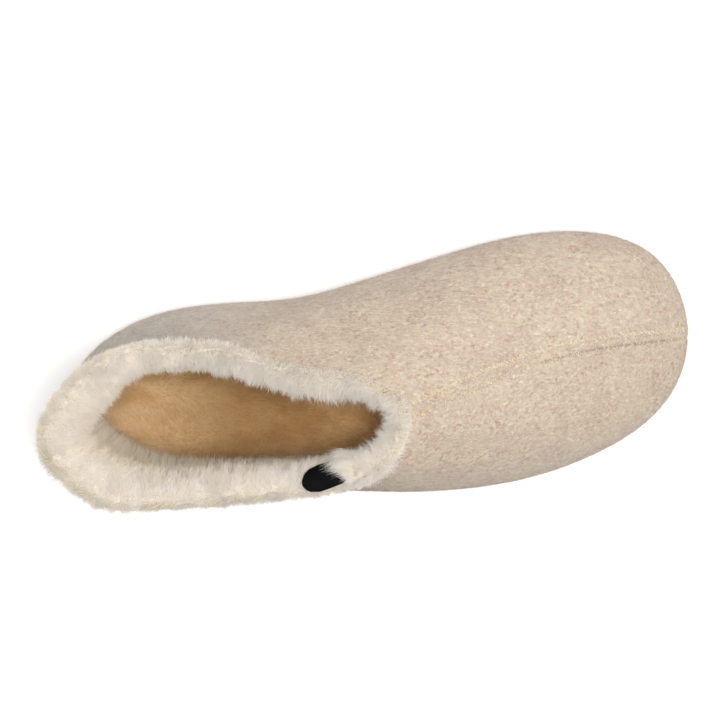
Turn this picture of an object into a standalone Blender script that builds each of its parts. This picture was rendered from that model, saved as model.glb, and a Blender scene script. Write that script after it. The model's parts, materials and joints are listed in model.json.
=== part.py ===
"""Right slipper boot: felt upper, thin sole, plush insole, deep fur collar and a plain side tab.

The boot stands on its sole with the toe to +X and its inner side to +Y. While it is made, x runs
from the back of the heel, and the last step centres it on the foot of its own box.
"""
from typing import NamedTuple

import bmesh
import bpy
import numpy as np
from mathutils import Vector

# Driving sizes in metres
MM = 0.001
LENGTH = 270 * MM
BALL_WIDTH = 104 * MM
THROAT_HEIGHT = 93 * MM
COLLAR_BACK_HEIGHT = 104 * MM
FELT_THICKNESS = 3 * MM
GAP = 0.3 * MM

# Sole and insole
SOLE_THICKNESS = 5 * MM
SOLE_INSET = 4 * MM
SOLE_FOOT_INSET = 6 * MM
SOLE_BEVEL_HEIGHT = 1.6 * MM
INSOLE_THICKNESS = 7 * MM
INSOLE_INSET = 10.6 * MM
INSOLE_CROWN = 2 * MM
TOE_SPRING = 6 * MM
ARCH_RISE = 3 * MM
HEEL_FLAT_END = 0.27 * LENGTH
FOREFOOT_FLAT = (0.55 * LENGTH, 0.745 * LENGTH)
ARCH_STEPS = 8
SPRING_STEPS = 7
SLAB_SIDES = 72

# Felt upper
TUCK = 6 * MM
TUCK_SHARE = 0.2
COLLAR_SWEEP = 2.0
PLAIN_COLUMNS = 64
COLUMN_BUNCH = 0.35
ROW_BEND = 1.25
ROWS = 17

# Centre front seam: a groove, and a raised band on its inner side
SEAM_GROOVE = 0.5 * MM
SEAM_BAND_RISE = 0.6 * MM
SEAM_BAND_AT_TOE = 3.2 * MM
SEAM_BAND_AT_COLLAR = 5.8 * MM
SEAM_EDGE = 1.2 * MM
SEAM_TOE_SHIFT = -0.006
SEAM_BOW = 0.0205
SEAM_START = 0.08
SEAM_MARGIN = 0.025

# Fur collar
SEAM_ROOM = 1.0 * MM
SEAM_ROOM_SHARE = 0.05
HEEL_SPILL = 2.2
HEEL_SPILL_AT = 0.52
HEEL_SPILL_SHARE = 0.06
LOCKS = 32
LOCK_COLUMNS = 4
LOCK_DEPTH = 2.4 * MM
LOCK_SWAY = 0.35
LOCK_WAVES = (5, 9)

# Side tab
TAB_AROUND = 0.8237
TAB_LENGTH = 20 * MM
TAB_WIDTH = 10.5 * MM
TAB_THICKNESS = 1.8 * MM
TAB_FROM_ROW = 2.95
TAB_TO_ROW = 5.5
TAB_SLANT = 0.02
TAB_GRID = (16, 10)
TAB_SEAT = 0.055


class Feather(NamedTuple):
    """Foot of the wall: share of the way round, of the length, and of half the ball width."""

    around: float
    along: float
    across: float


# From the toe tip over the inner side to the heel and back along the outer side
FEATHER = (
    Feather(0.00, 1.003, 0.20),
    Feather(0.07, 0.958, 0.845),
    Feather(0.19, 0.702, 1.06),
    Feather(0.31, 0.391, 0.73),
    Feather(0.42, 0.133, 0.633),
    Feather(0.50, 0.014, 0.02),
    Feather(0.58, 0.135, -0.69),
    Feather(0.69, 0.418, -0.80),
    Feather(0.81, 0.648, -0.952),
    Feather(0.93, 0.943, -0.475),
)


class Wall(NamedTuple):
    """Meridian of the wall, in mm: rise and lean of its lower half, drop and pull of its upper."""

    around: float
    rise: float
    lean: float
    reach: float
    drop: float
    pull: float


# reach is the share of the way from the collar to the foot that the upper half bends towards
WALL = (
    Wall(0.00, 30.0, 5.0, 0.47, 40.0, 0.0),
    Wall(0.07, 28.5, 5.0, 0.45, 40.0, 0.0),
    Wall(0.19, 30.0, 4.0, 0.34, 36.0, 0.0),
    Wall(0.31, 33.5, 3.0, 0.19, 40.0, 2.0),
    Wall(0.42, 36.0, 3.0, 0.08, 50.0, 7.0),
    Wall(0.50, 33.5, 4.0, 0.00, 50.0, 10.0),
    Wall(0.58, 36.0, 3.0, 0.08, 50.0, 7.0),
    Wall(0.69, 33.5, 3.0, 0.19, 40.0, 2.0),
    Wall(0.81, 30.0, 4.0, 0.34, 36.0, 0.0),
    Wall(0.93, 28.5, 5.0, 0.45, 40.0, 0.0),
)


class Rim(NamedTuple):
    """Felt edge of the slack collar: share of the way round, of the length, of half the width."""

    around: float
    along: float
    across: float


RIM = (
    Rim(0.000, 0.548, -0.09),
    Rim(0.045, 0.540, 0.07),
    Rim(0.115, 0.478, 0.27),
    Rim(0.200, 0.384, 0.38),
    Rim(0.290, 0.284, 0.61),
    Rim(0.360, 0.192, 0.68),
    Rim(0.430, 0.104, 0.60),
    Rim(0.465, 0.049, 0.375),
    Rim(0.500, 0.011, 0.03),
    Rim(0.535, 0.038, -0.265),
    Rim(0.580, 0.091, -0.485),
    Rim(0.640, 0.184, -0.585),
    Rim(0.710, 0.303, -0.60),
    Rim(0.800, 0.416, -0.59),
    Rim(0.880, 0.487, -0.51),
    Rim(0.955, 0.533, -0.29),
)


class FurRow(NamedTuple):
    """One row of the fur's section, in mm past the felt edge and out from the felt's face."""

    past: float
    out: float
    spill: float
    lock: float
    phase: float


# The fur lies inside the wall and stands over the felt edge; spill is the share of each row that
# leans out over the heel, lock and phase the size and place of its locks
FUR_SECTION = (
    FurRow(0.45, 0.5, 0.9, 0.0, 0.0),
    FurRow(1.4, 1.6, 1.0, 0.4, 0.0),
    FurRow(4.0, 1.2, 1.0, 1.0, 0.5),
    FurRow(6.0, -1.2, 0.8, 1.0, 0.5),
    FurRow(6.4, -4.8, 0.5, 0.8, 0.0),
    FurRow(4.8, -8.2, 0.3, 1.0, 0.0),
    FurRow(0.6, -10.8, 0.1, 1.0, 0.5),
    FurRow(-6.5, -12.0, 0.0, 1.0, 0.5),
    FurRow(-14.0, -11.4, 0.0, 1.0, 0.0),
    FurRow(-21.0, -8.8, 0.0, 0.6, 0.0),
    FurRow(-24.5, -3.45, 0.0, 0.0, 0.0),
    FurRow(-16.0, -3.45, 0.0, 0.0, 0.0),
    FurRow(-7.5, -3.45, 0.0, 0.0, 0.0),
    FurRow(0.45, -3.45, 0.0, 0.0, 0.0),
)


def closed_spline(knots, values):
    """Smooth closed curve through values at knots, as a function of the share of the way round."""
    knots = np.asarray(knots, float)
    values = np.asarray(values, float)
    count = len(knots)
    spans = np.diff(np.append(knots, knots[0] + 1.0))
    matrix = np.zeros((count, count))
    right = np.zeros_like(values)
    for i in range(count):
        before = (i - 1) % count
        after = (i + 1) % count
        matrix[i, before] += spans[before]
        matrix[i, i] += 2 * (spans[before] + spans[i])
        matrix[i, after] += spans[i]
        slope_after = (values[after] - values[i]) / spans[i]
        slope_before = (values[i] - values[before]) / spans[before]
        right[i] = 6 * (slope_after - slope_before)
    bend = np.linalg.solve(matrix, right)

    def at(around):
        share = np.mod(around, 1.0)
        i = int(np.clip(np.searchsorted(knots, share, side="right") - 1, 0, count - 1))
        j = (i + 1) % count
        span = spans[i]
        done = share - knots[i]
        left = span - done
        curved = (bend[i] * left**3 + bend[j] * done**3) / (6 * span)
        straight_i = (values[i] / span - bend[i] * span / 6) * left
        straight_j = (values[j] / span - bend[j] * span / 6) * done
        return curved + straight_i + straight_j

    return at


def plan_curve(rows):
    """Closed plan curve in metres through a table of along and across shares."""
    points = [(row.along * LENGTH, row.across * BALL_WIDTH / 2) for row in rows]
    return closed_spline([row.around for row in rows], points)


feather_plan = plan_curve(FEATHER)
rim_plan = plan_curve(RIM)
wall_shape = closed_spline([row.around for row in WALL], [row[1:] for row in WALL])


def ground_steps():
    """Stations along the sole where its underside changes slope."""
    arch = np.linspace(HEEL_FLAT_END, FOREFOOT_FLAT[0], ARCH_STEPS + 1)
    spring = np.linspace(FOREFOOT_FLAT[1], LENGTH, SPRING_STEPS + 1)
    return np.concatenate([arch, spring])


STEPS = ground_steps()


def ground_curve(x):
    """Rise of the underside over the floor: arch in the waist, spring at the toe."""
    arch_share = np.clip((x - HEEL_FLAT_END) / (FOREFOOT_FLAT[0] - HEEL_FLAT_END), 0, 1)
    toe_share = np.clip((x - FOREFOOT_FLAT[1]) / (LENGTH - FOREFOOT_FLAT[1]), 0, 1)
    return ARCH_RISE * np.sin(np.pi * arch_share) ** 2 + TOE_SPRING * toe_share**1.8


STEP_RISES = np.where(np.abs(ground_curve(STEPS)) < 1e-9, 0.0, ground_curve(STEPS))


def ground(x):
    """Rise of the underside, straight between stations so that each strip of the sole is flat."""
    return float(np.interp(x, STEPS, STEP_RISES))


def plan_normal(around):
    """Outward direction of the feather line in plan."""
    step = 1e-4
    run = feather_plan(around + step) - feather_plan(around - step)
    normal = np.array([run[1], -run[0]])
    return normal / np.linalg.norm(normal)


def inset_plan(around, inset):
    """Point of the feather line moved inwards."""
    return feather_plan(around) - plan_normal(around) * inset


def collar_height(around):
    """Height of the felt edge: lowest at the throat, rising to the back."""
    share = ((1 - np.cos(2 * np.pi * around)) / 2) ** COLLAR_SWEEP
    return THROAT_HEIGHT + (COLLAR_BACK_HEIGHT - THROAT_HEIGHT) * share


def wall_point(around, up):
    """Outer face of the felt, from the sole (up = 0) to the felt edge (up = 1) and past it."""
    foot_plan = feather_plan(around)
    normal = plan_normal(around)
    rise, lean, reach, drop, pull = wall_shape(around) * np.array([MM, MM, 1, MM, MM])
    rim = rim_plan(around)
    tucked = foot_plan - normal * TUCK
    foot = np.append(foot_plan, SOLE_THICKNESS + GAP + ground(tucked[0]))
    edge = np.append(rim, collar_height(around))
    low = foot + np.append(normal * lean, rise)
    high = edge + np.append((foot_plan - rim) * reach - normal * pull, -drop)
    if up > 1:
        return edge + 3 * (edge - high) * (up - 1)
    down = 1 - up
    point = foot * down**3 + 3 * low * up * down**2 + 3 * high * up**2 * down + edge * up**3
    tuck = TUCK * max(0.0, 1 - up / TUCK_SHARE) ** 2
    return point - np.append(normal * tuck, 0)


def wall_normal(around, up):
    """Outward direction of the felt's face."""
    step = 1e-3
    top = min(up, 1.0)
    across = wall_point(around + step, top) - wall_point(around - step, top)
    along = wall_point(around, top) - wall_point(around, top - step)
    normal = np.cross(across, along)
    return normal / np.linalg.norm(normal)


def edge_point(around, past, out):
    """Point by its way past the felt edge along the wall, and out from the felt's face."""
    step = 1e-3
    pace = np.linalg.norm(wall_point(around, 1.0) - wall_point(around, 1.0 - step)) / step
    up = 1.0 + past / pace
    return wall_point(around, up) + wall_normal(around, up) * out


def smooth_step(value):
    """0 below 0, 1 above 1 and smooth between."""
    share = np.clip(value, 0, 1)
    return share * share * (3 - 2 * share)


def seam_around(up):
    """Way round of the centre front seam at a height up the wall."""
    return SEAM_TOE_SHIFT * (1 - up) + SEAM_BOW * np.sin(np.pi * up**2)


def seam_band(up):
    """Width of the raised band beside the seam."""
    return SEAM_BAND_AT_TOE + (SEAM_BAND_AT_COLLAR - SEAM_BAND_AT_TOE) * up


def seam_columns(up):
    """Ways round of the columns beside the seam, with the step that the wall takes there."""
    step = 1e-3
    middle = seam_around(up)
    run = wall_point(middle + step, up) - wall_point(middle - step, up)
    pace = np.linalg.norm(run) / (2 * step)
    band = seam_band(up)
    offsets = (-2.5 * SEAM_EDGE, -SEAM_EDGE, 0, SEAM_EDGE, band, band + SEAM_EDGE)
    grown = smooth_step(up / SEAM_START)
    steps = (0, 0, -SEAM_GROOVE * grown, SEAM_BAND_RISE * grown, SEAM_BAND_RISE * grown, 0)
    return [middle + offset / pace for offset in offsets], steps


def upper_columns(up):
    """All ways round of one row of the upper, and the wall's step at each."""
    near, steps = seam_columns(up)
    even = np.linspace(0, 1, PLAIN_COLUMNS)
    bunched = even - COLUMN_BUNCH * np.sin(4 * np.pi * even) / (4 * np.pi)
    first = near[-1] + SEAM_MARGIN
    last = 1 + near[0] - SEAM_MARGIN
    around = list(near) + list(first + (last - first) * bunched) + [near[0] + 1]
    return around, list(steps) + [0] * PLAIN_COLUMNS + [steps[0]]


def new_object(name, bm, material):
    """Object of the finished mesh in the boot's collection, under its stand."""
    mesh = bpy.data.meshes.new(name)
    bm.to_mesh(mesh)
    bm.free()
    mesh.materials.append(material)
    mesh.shade_smooth()
    mesh.set_sharp_from_angle(angle=np.radians(40))
    obj = bpy.data.objects.new(name, mesh)
    boot.objects.link(obj)
    obj.parent = stand
    return obj


def new_material(name, color, roughness):
    """Plain finish of one sub-part."""
    material = bpy.data.materials.new(name)
    material.use_nodes = True
    shader = material.node_tree.nodes["Principled BSDF"]
    shader.inputs["Base Color"].default_value = (*color, 1.0)
    shader.inputs["Roughness"].default_value = roughness
    shader.inputs["Metallic"].default_value = 0.0
    return material


def grid_shape(columns, rows, place):
    """Grid bent into a surface: place(column, row) gives each corner's point."""
    bm = bmesh.new()
    bmesh.ops.create_grid(bm, x_segments=columns, y_segments=rows, size=0.5)
    for vert in bm.verts:
        column = round((vert.co.x + 0.5) * columns)
        row = round((vert.co.y + 0.5) * rows)
        vert.co = Vector(place(column, row))
    bmesh.ops.remove_doubles(bm, verts=bm.verts, dist=0.01 * MM)
    return bm


def add_solidify(obj, thickness):
    """Wall thickness, measured inwards from the shaped face."""
    wall = obj.modifiers.new("wall", "SOLIDIFY")
    wall.thickness = thickness
    wall.offset = -1


def make_upper():
    """Hollow felt upper, open at the collar and underneath."""
    rows = []
    for row in range(ROWS + 1):
        up = (row / ROWS) ** ROW_BEND
        around, steps = upper_columns(up)
        rows.append([wall_point(a, up) + wall_normal(a, up) * s for a, s in zip(around, steps)])
    bm = grid_shape(len(rows[0]) - 1, ROWS, lambda column, row: rows[row][column])
    upper = new_object("upper", bm, new_material("felt", (0.64, 0.53, 0.44), 0.95))
    add_solidify(upper, FELT_THICKNESS)


def make_slab(name, layers, material):
    """Sole-shaped slab: layers are (inset from the feather line, height), from below upwards."""
    bm = bmesh.new()
    made = bmesh.ops.create_circle(bm, cap_ends=True, segments=SLAB_SIDES, radius=1.0)
    ring = made["verts"]
    face = bm.faces[:][0]
    shares = {vert: i / SLAB_SIDES for i, vert in enumerate(ring)}
    for number, (inset, height) in enumerate(layers):
        if number:
            under = face
            grown = bmesh.ops.extrude_face_region(bm, geom=[under])
            face = [item for item in grown["geom"] if isinstance(item, bmesh.types.BMFace)][0]
            if number > 1:
                bmesh.ops.delete(bm, geom=[under], context="FACES_ONLY")
            nearest = {}
            for vert in face.verts:
                below = [edge.other_vert(vert) for edge in vert.link_edges]
                nearest[vert] = next(shares[v] for v in below if v in shares)
            shares = nearest
        for vert, share in shares.items():
            vert.co = Vector((*inset_plan(share, inset), height))
    for step in STEPS:
        geom = bm.verts[:] + bm.edges[:] + bm.faces[:]
        bmesh.ops.bisect_plane(bm, geom=geom, dist=1e-7, plane_co=(step, 0, 0), plane_no=(1, 0, 0))
    for vert in bm.verts:
        vert.co.z += ground(vert.co.x)
    bmesh.ops.recalc_face_normals(bm, faces=bm.faces)
    return new_object(name, bm, material)


def make_outsole():
    """Thin plain sole with a bevelled foot, flat at heel and forefoot."""
    layers = (
        (SOLE_FOOT_INSET, 0.0),
        (SOLE_INSET, SOLE_BEVEL_HEIGHT),
        (SOLE_INSET, SOLE_THICKNESS),
    )
    make_slab("outsole", layers, new_material("sole", (0.16, 0.12, 0.09), 0.8))


def make_insole():
    """Footbed inside the upper, with a softened upper edge."""
    foot = SOLE_THICKNESS + GAP
    layers = (
        (INSOLE_INSET, foot),
        (INSOLE_INSET, foot + INSOLE_THICKNESS - INSOLE_CROWN),
        (INSOLE_INSET + INSOLE_CROWN, foot + INSOLE_THICKNESS),
    )
    make_slab("insole", layers, new_material("footbed plush", (0.40, 0.23, 0.10), 0.95))


def lock_height(around, phase):
    """Stand of a fur lock over the section: pointed, uneven round the collar, none under the tab."""
    turn = np.mod(around * LOCKS + phase, 1.0)
    point = 1 - 2 * abs(turn - 0.5)
    sway = sum(np.sin(2 * np.pi * waves * (around + phase)) for waves in LOCK_WAVES)
    away = abs(np.mod(around - TAB_AROUND + 0.5, 1.0) - 0.5) / TAB_SEAT
    return (point - 0.5) * (1 + LOCK_SWAY * sway / len(LOCK_WAVES)) * smooth_step(away - 1)


def fur_point(around, row):
    """Point of the fur at a row of its section, between rows on a smooth curve, without locks."""
    low = int(np.floor(row))
    share = row - low
    count = len(FUR_SECTION)
    a, b, c, d = [np.array(FUR_SECTION[(low + i) % count][:3]) * MM for i in (-1, 0, 1, 2)]
    spread = 2 * a - 5 * b + 4 * c - d
    past, out, spill = b + 0.5 * share * (c - a + share * (spread + share * (3 * (b - c) + d - a)))
    if FUR_SECTION[low % count].lock == 0:
        out += np.sign(out) * seam_room(around)
    away = abs(around - HEEL_SPILL_AT) / HEEL_SPILL_SHARE
    return edge_point(around, past, out + spill * HEEL_SPILL * smooth_step(2 - away))


def seam_room(around):
    """Extra width that the fur leaves for the centre seam on both faces of the felt."""
    away = abs(np.mod(around + 0.5, 1.0) - 0.5) / SEAM_ROOM_SHARE
    return SEAM_ROOM * smooth_step(2 - away)


def fur_normal(around, row):
    """Outward direction of the fur's face."""
    step = 1e-3
    across = fur_point(around + step, row) - fur_point(around - step, row)
    along = fur_point(around, row + step) - fur_point(around, row - step)
    normal = np.cross(across, along)
    return normal / np.linalg.norm(normal)


def make_collar_fur():
    """Ring of deep pile with pointed locks, hooked over the felt edge."""
    columns = LOCKS * LOCK_COLUMNS
    count = len(FUR_SECTION)

    def place(column, row):
        around = column % columns / columns
        fur = FUR_SECTION[row % count]
        point = fur_point(around, row % count)
        if fur.lock:
            stand_off = LOCK_DEPTH * fur.lock * lock_height(around, fur.phase)
            point = point + fur_normal(around, row % count) * stand_off
        return point

    bm = grid_shape(columns, count, place)
    bmesh.ops.recalc_face_normals(bm, faces=bm.faces)
    new_object("collar_fur", bm, new_material("cream pile", (0.86, 0.82, 0.73), 0.95))


def make_side_tab():
    """Plain rounded tab that lies on the fur of the outer side."""
    columns, rows = TAB_GRID
    step = 1e-3
    middle = (TAB_FROM_ROW + TAB_TO_ROW) / 2
    run = fur_point(TAB_AROUND + step, middle) - fur_point(TAB_AROUND - step, middle)
    pace = np.linalg.norm(run) / (2 * step)
    corner = TAB_WIDTH / 2
    straight = TAB_LENGTH / 2 - corner

    def place(column, row):
        side = 2 * row / rows - 1
        half_length = straight + corner * np.sqrt(max(0.0, 1 - side * side))
        along = (2 * column / columns - 1) * half_length
        around = TAB_AROUND + along / pace
        fur_row = middle + (TAB_TO_ROW - TAB_FROM_ROW) * side / 2 + TAB_SLANT * along / MM
        return fur_point(around, fur_row) + fur_normal(around, fur_row) * (GAP + TAB_THICKNESS)

    bm = grid_shape(columns, rows, place)
    tab = new_object("side_tab", bm, new_material("black tab", (0.012, 0.012, 0.013), 0.55))
    add_solidify(tab, TAB_THICKNESS)


def centre_on_floor():
    """Move the stand so that the boot's box is centred over the origin and stands on z = 0."""
    bpy.context.view_layer.update()
    graph = bpy.context.evaluated_depsgraph_get()
    corners = []
    for obj in boot.objects:
        if obj.type == "MESH":
            shape = obj.evaluated_get(graph).to_mesh()
            corners += [vert.co.copy() for vert in shape.vertices]
    low = [min(corner[i] for corner in corners) for i in range(3)]
    high = [max(corner[i] for corner in corners) for i in range(3)]
    stand.location = (-(low[0] + high[0]) / 2, -(low[1] + high[1]) / 2, -low[2])
    bpy.context.view_layer.update()


for old in list(bpy.data.objects):
    bpy.data.objects.remove(old, do_unlink=True)
boot = bpy.data.collections.new("slipper_boot")
bpy.context.scene.collection.children.link(boot)
stand = bpy.data.objects.new("boot_stand", None)
boot.objects.link(stand)

make_outsole()
make_insole()
make_upper()
make_collar_fur()
make_side_tab()
centre_on_floor()
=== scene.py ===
"""Looks of a right felt slipper boot with a deep pile collar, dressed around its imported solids."""

import json
import logging
import math
from contextlib import contextmanager
from dataclasses import dataclass, field
from enum import Enum
from typing import Callable, Iterator, NamedTuple, Sequence

import bmesh
import bpy
import numpy as np
from mathutils import Matrix, Vector

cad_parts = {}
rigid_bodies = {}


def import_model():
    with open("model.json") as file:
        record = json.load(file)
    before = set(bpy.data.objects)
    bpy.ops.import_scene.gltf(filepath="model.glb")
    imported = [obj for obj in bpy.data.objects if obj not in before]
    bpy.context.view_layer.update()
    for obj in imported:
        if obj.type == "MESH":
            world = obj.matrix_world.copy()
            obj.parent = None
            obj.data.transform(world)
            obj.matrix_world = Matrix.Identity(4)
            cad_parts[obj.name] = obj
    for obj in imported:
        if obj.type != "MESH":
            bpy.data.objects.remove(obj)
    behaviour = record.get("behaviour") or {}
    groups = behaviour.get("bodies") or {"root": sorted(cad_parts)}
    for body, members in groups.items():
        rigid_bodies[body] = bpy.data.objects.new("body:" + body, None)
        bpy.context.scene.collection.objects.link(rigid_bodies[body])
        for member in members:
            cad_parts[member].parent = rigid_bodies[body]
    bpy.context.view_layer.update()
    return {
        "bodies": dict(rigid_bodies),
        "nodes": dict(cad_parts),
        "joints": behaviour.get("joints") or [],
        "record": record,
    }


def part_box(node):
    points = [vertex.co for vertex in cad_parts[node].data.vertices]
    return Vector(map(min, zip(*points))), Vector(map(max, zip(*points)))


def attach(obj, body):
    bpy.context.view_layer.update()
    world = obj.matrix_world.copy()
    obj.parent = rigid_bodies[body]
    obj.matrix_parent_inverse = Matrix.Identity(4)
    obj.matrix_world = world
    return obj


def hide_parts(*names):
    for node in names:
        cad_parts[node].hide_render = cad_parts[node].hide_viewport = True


MM = 0.001
WELD = 0.01 * MM
BODY = "root"
SKYWARD = np.array([0.0, 0.0, 1.0])
log = logging.getLogger("slipper_boot")


class Slot(Enum):
    """Material slots of the record, one for each kind of new piece."""

    FELT = "felt"
    PLUSH = "footbed_plush"
    PILE = "cream_pile"
    TAB = "black_tab"


class Plan(NamedTuple):
    """Plan point: share of the way round, of the boot's length, and of half the ball width."""

    around: float
    along: float
    across: float


class Wall(NamedTuple):
    """Meridian of the wall: rise and lean of its lower half, reach, drop and pull of its upper."""

    around: float
    rise: float
    lean: float
    reach: float
    drop: float
    pull: float


class PileRow(NamedTuple):
    """Row of the collar's section in mm: past the felt edge, out from its face, share of the spill."""

    past: float
    out: float
    spill: float


class PileReach(NamedTuple):
    """Length of the collar's hairs at a way round: on its outer lip, and on its inner crest."""

    around: float
    lip: float
    crest: float


class Loops(NamedTuple):
    """Share of the overlock's loops that shows at a way round."""

    around: float
    shown: float


class Flap(NamedTuple):
    """Length of the hairs over the tab's front end, by the share of its half width."""

    side: float
    reach: float


class Crease(NamedTuple):
    """Soft fold between two places (around, up) of the wall, with its width and height in mm."""

    start: tuple[float, float]
    end: tuple[float, float]
    width: float
    height: float


class SoftBox(NamedTuple):
    """Square light: place and size in metres, power in watts, colour."""

    name: str
    place: tuple[float, float, float]
    size: float
    power: float
    color: tuple[float, float, float]


FEATHER = (
    Plan(0.00, 1.003, 0.20),
    Plan(0.07, 0.958, 0.845),
    Plan(0.19, 0.702, 1.06),
    Plan(0.31, 0.391, 0.73),
    Plan(0.42, 0.133, 0.633),
    Plan(0.50, 0.014, 0.02),
    Plan(0.58, 0.135, -0.69),
    Plan(0.69, 0.418, -0.80),
    Plan(0.81, 0.648, -0.952),
    Plan(0.93, 0.943, -0.475),
)

WALL = (
    Wall(0.00, 30.0, 5.0, 0.47, 40.0, 0.0),
    Wall(0.07, 28.5, 5.0, 0.45, 40.0, 0.0),
    Wall(0.19, 30.0, 4.0, 0.34, 36.0, 0.0),
    Wall(0.31, 33.5, 3.0, 0.19, 40.0, 2.0),
    Wall(0.42, 36.0, 3.0, 0.08, 50.0, 7.0),
    Wall(0.50, 33.5, 4.0, 0.00, 50.0, 10.0),
    Wall(0.58, 36.0, 3.0, 0.08, 50.0, 7.0),
    Wall(0.69, 33.5, 3.0, 0.19, 40.0, 2.0),
    Wall(0.81, 30.0, 4.0, 0.34, 36.0, 0.0),
    Wall(0.93, 28.5, 5.0, 0.45, 40.0, 0.0),
)

RIM = (
    Plan(0.000, 0.548, -0.09),
    Plan(0.045, 0.540, 0.07),
    Plan(0.115, 0.478, 0.27),
    Plan(0.200, 0.384, 0.38),
    Plan(0.290, 0.284, 0.61),
    Plan(0.360, 0.192, 0.68),
    Plan(0.430, 0.104, 0.60),
    Plan(0.465, 0.049, 0.375),
    Plan(0.500, 0.011, 0.03),
    Plan(0.535, 0.038, -0.265),
    Plan(0.580, 0.091, -0.485),
    Plan(0.640, 0.184, -0.585),
    Plan(0.710, 0.303, -0.60),
    Plan(0.800, 0.416, -0.59),
    Plan(0.880, 0.487, -0.51),
    Plan(0.955, 0.533, -0.29),
)

PILE_SECTION = (
    PileRow(0.45, 0.5, 0.9),
    PileRow(1.4, 1.6, 1.0),
    PileRow(4.0, 1.2, 1.0),
    PileRow(6.0, -1.2, 0.8),
    PileRow(6.4, -4.8, 0.5),
    PileRow(4.8, -8.2, 0.3),
    PileRow(0.6, -10.8, 0.1),
    PileRow(-6.5, -12.0, 0.0),
    PileRow(-14.0, -11.4, 0.0),
    PileRow(-21.0, -8.8, 0.0),
    PileRow(-24.5, -3.45, 0.0),
    PileRow(-16.0, -3.45, 0.0),
    PileRow(-7.5, -3.45, 0.0),
    PileRow(0.45, -3.45, 0.0),
)

PILE_REACH = (
    PileReach(0.00, 0.70, 1.00),
    PileReach(0.07, 0.70, 1.00),
    PileReach(0.13, 0.75, 1.25),
    PileReach(0.20, 0.70, 1.00),
    PileReach(0.30, 0.75, 0.85),
    PileReach(0.36, 0.65, 0.60),
    PileReach(0.42, 0.40, 0.90),
    PileReach(0.50, 0.40, 1.00),
    PileReach(0.60, 0.35, 1.00),
    PileReach(0.75, 0.50, 1.00),
    PileReach(0.88, 0.85, 1.20),
    PileReach(0.93, 1.15, 1.15),
    PileReach(0.97, 0.75, 1.10),
)

OVERLOCK = (
    Loops(0.00, 0.60),
    Loops(0.05, 0.50),
    Loops(0.12, 0.20),
    Loops(0.27, 0.20),
    Loops(0.32, 0.65),
    Loops(0.37, 0.20),
    Loops(0.46, 0.10),
    Loops(0.52, 0.70),
    Loops(0.56, 0.30),
    Loops(0.60, 0.60),
    Loops(0.65, 0.20),
    Loops(0.69, 0.50),
    Loops(0.74, 0.15),
    Loops(0.90, 0.20),
    Loops(0.97, 0.60),
)

FLAP = (
    Flap(-1.2, 0.30),
    Flap(-0.3, 0.60),
    Flap(0.3, 1.10),
    Flap(1.2, 0.50),
)

SOFT_BOXES = (
    SoftBox("top light", (0.08, 0.22, 1.6), 0.4, 18.5, (1.0, 0.98, 0.95)),
    SoftBox("key light", (0.8, 0.1, 1.2), 0.7, 6.0, (0.97, 0.98, 1.0)),
    SoftBox("fill light", (0.1, -0.9, 1.0), 1.0, 0.6, (1.0, 0.92, 0.84)),
    SoftBox("back light", (-0.9, 0.7, 0.6), 0.6, 1.7, (0.88, 0.95, 1.0)),
)

CREASES = (
    Crease((0.965, 0.93), (0.945, 0.66), 5.0, 1.7),
    Crease((0.935, 0.93), (0.915, 0.68), 7.0, -1.9),
    Crease((0.170, 0.95), (0.150, 0.70), 9.0, -1.0),
    Crease((0.240, 0.97), (0.250, 0.55), 12.0, 0.9),
    Crease((0.800, 0.96), (0.780, 0.55), 10.0, -1.2),
)


def smooth_step(value: np.ndarray) -> np.ndarray:
    """Smooth rise from 0 to 1 while value goes from 0 to 1."""
    share = np.clip(value, 0.0, 1.0)
    return share * share * (3.0 - 2.0 * share)


def fade(value: np.ndarray, start: float | np.ndarray, end: float | np.ndarray) -> np.ndarray:
    """Smooth rise from 0, where value is start, to 1, where it is end."""
    return smooth_step((value - start) / (end - start))


def unit(vectors: np.ndarray) -> np.ndarray:
    """Vectors scaled to length 1."""
    return vectors / np.maximum(np.linalg.norm(vectors, axis=-1, keepdims=True), 1e-12)


def colors_between(first: Sequence[float], second: Sequence[float], share: np.ndarray) -> np.ndarray:
    """Colours between a first one, at 0, and a second, at 1."""
    return np.asarray(first) * (1 - share) + np.asarray(second) * share


def near(around: np.ndarray, at: float, share: float, full: float = 1.0) -> np.ndarray:
    """Weight that is 1 at a way round and fades from there.

    Args:
        around: shares of the way round.
        at: where the weight is full.
        share: way over which it fades.
        full: number of shares after which it is 0.

    Returns:
        Weights from 0 to 1.
    """
    away = np.abs(np.mod(around - at + 0.5, 1.0) - 0.5)
    return smooth_step(full - away / share)


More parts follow.
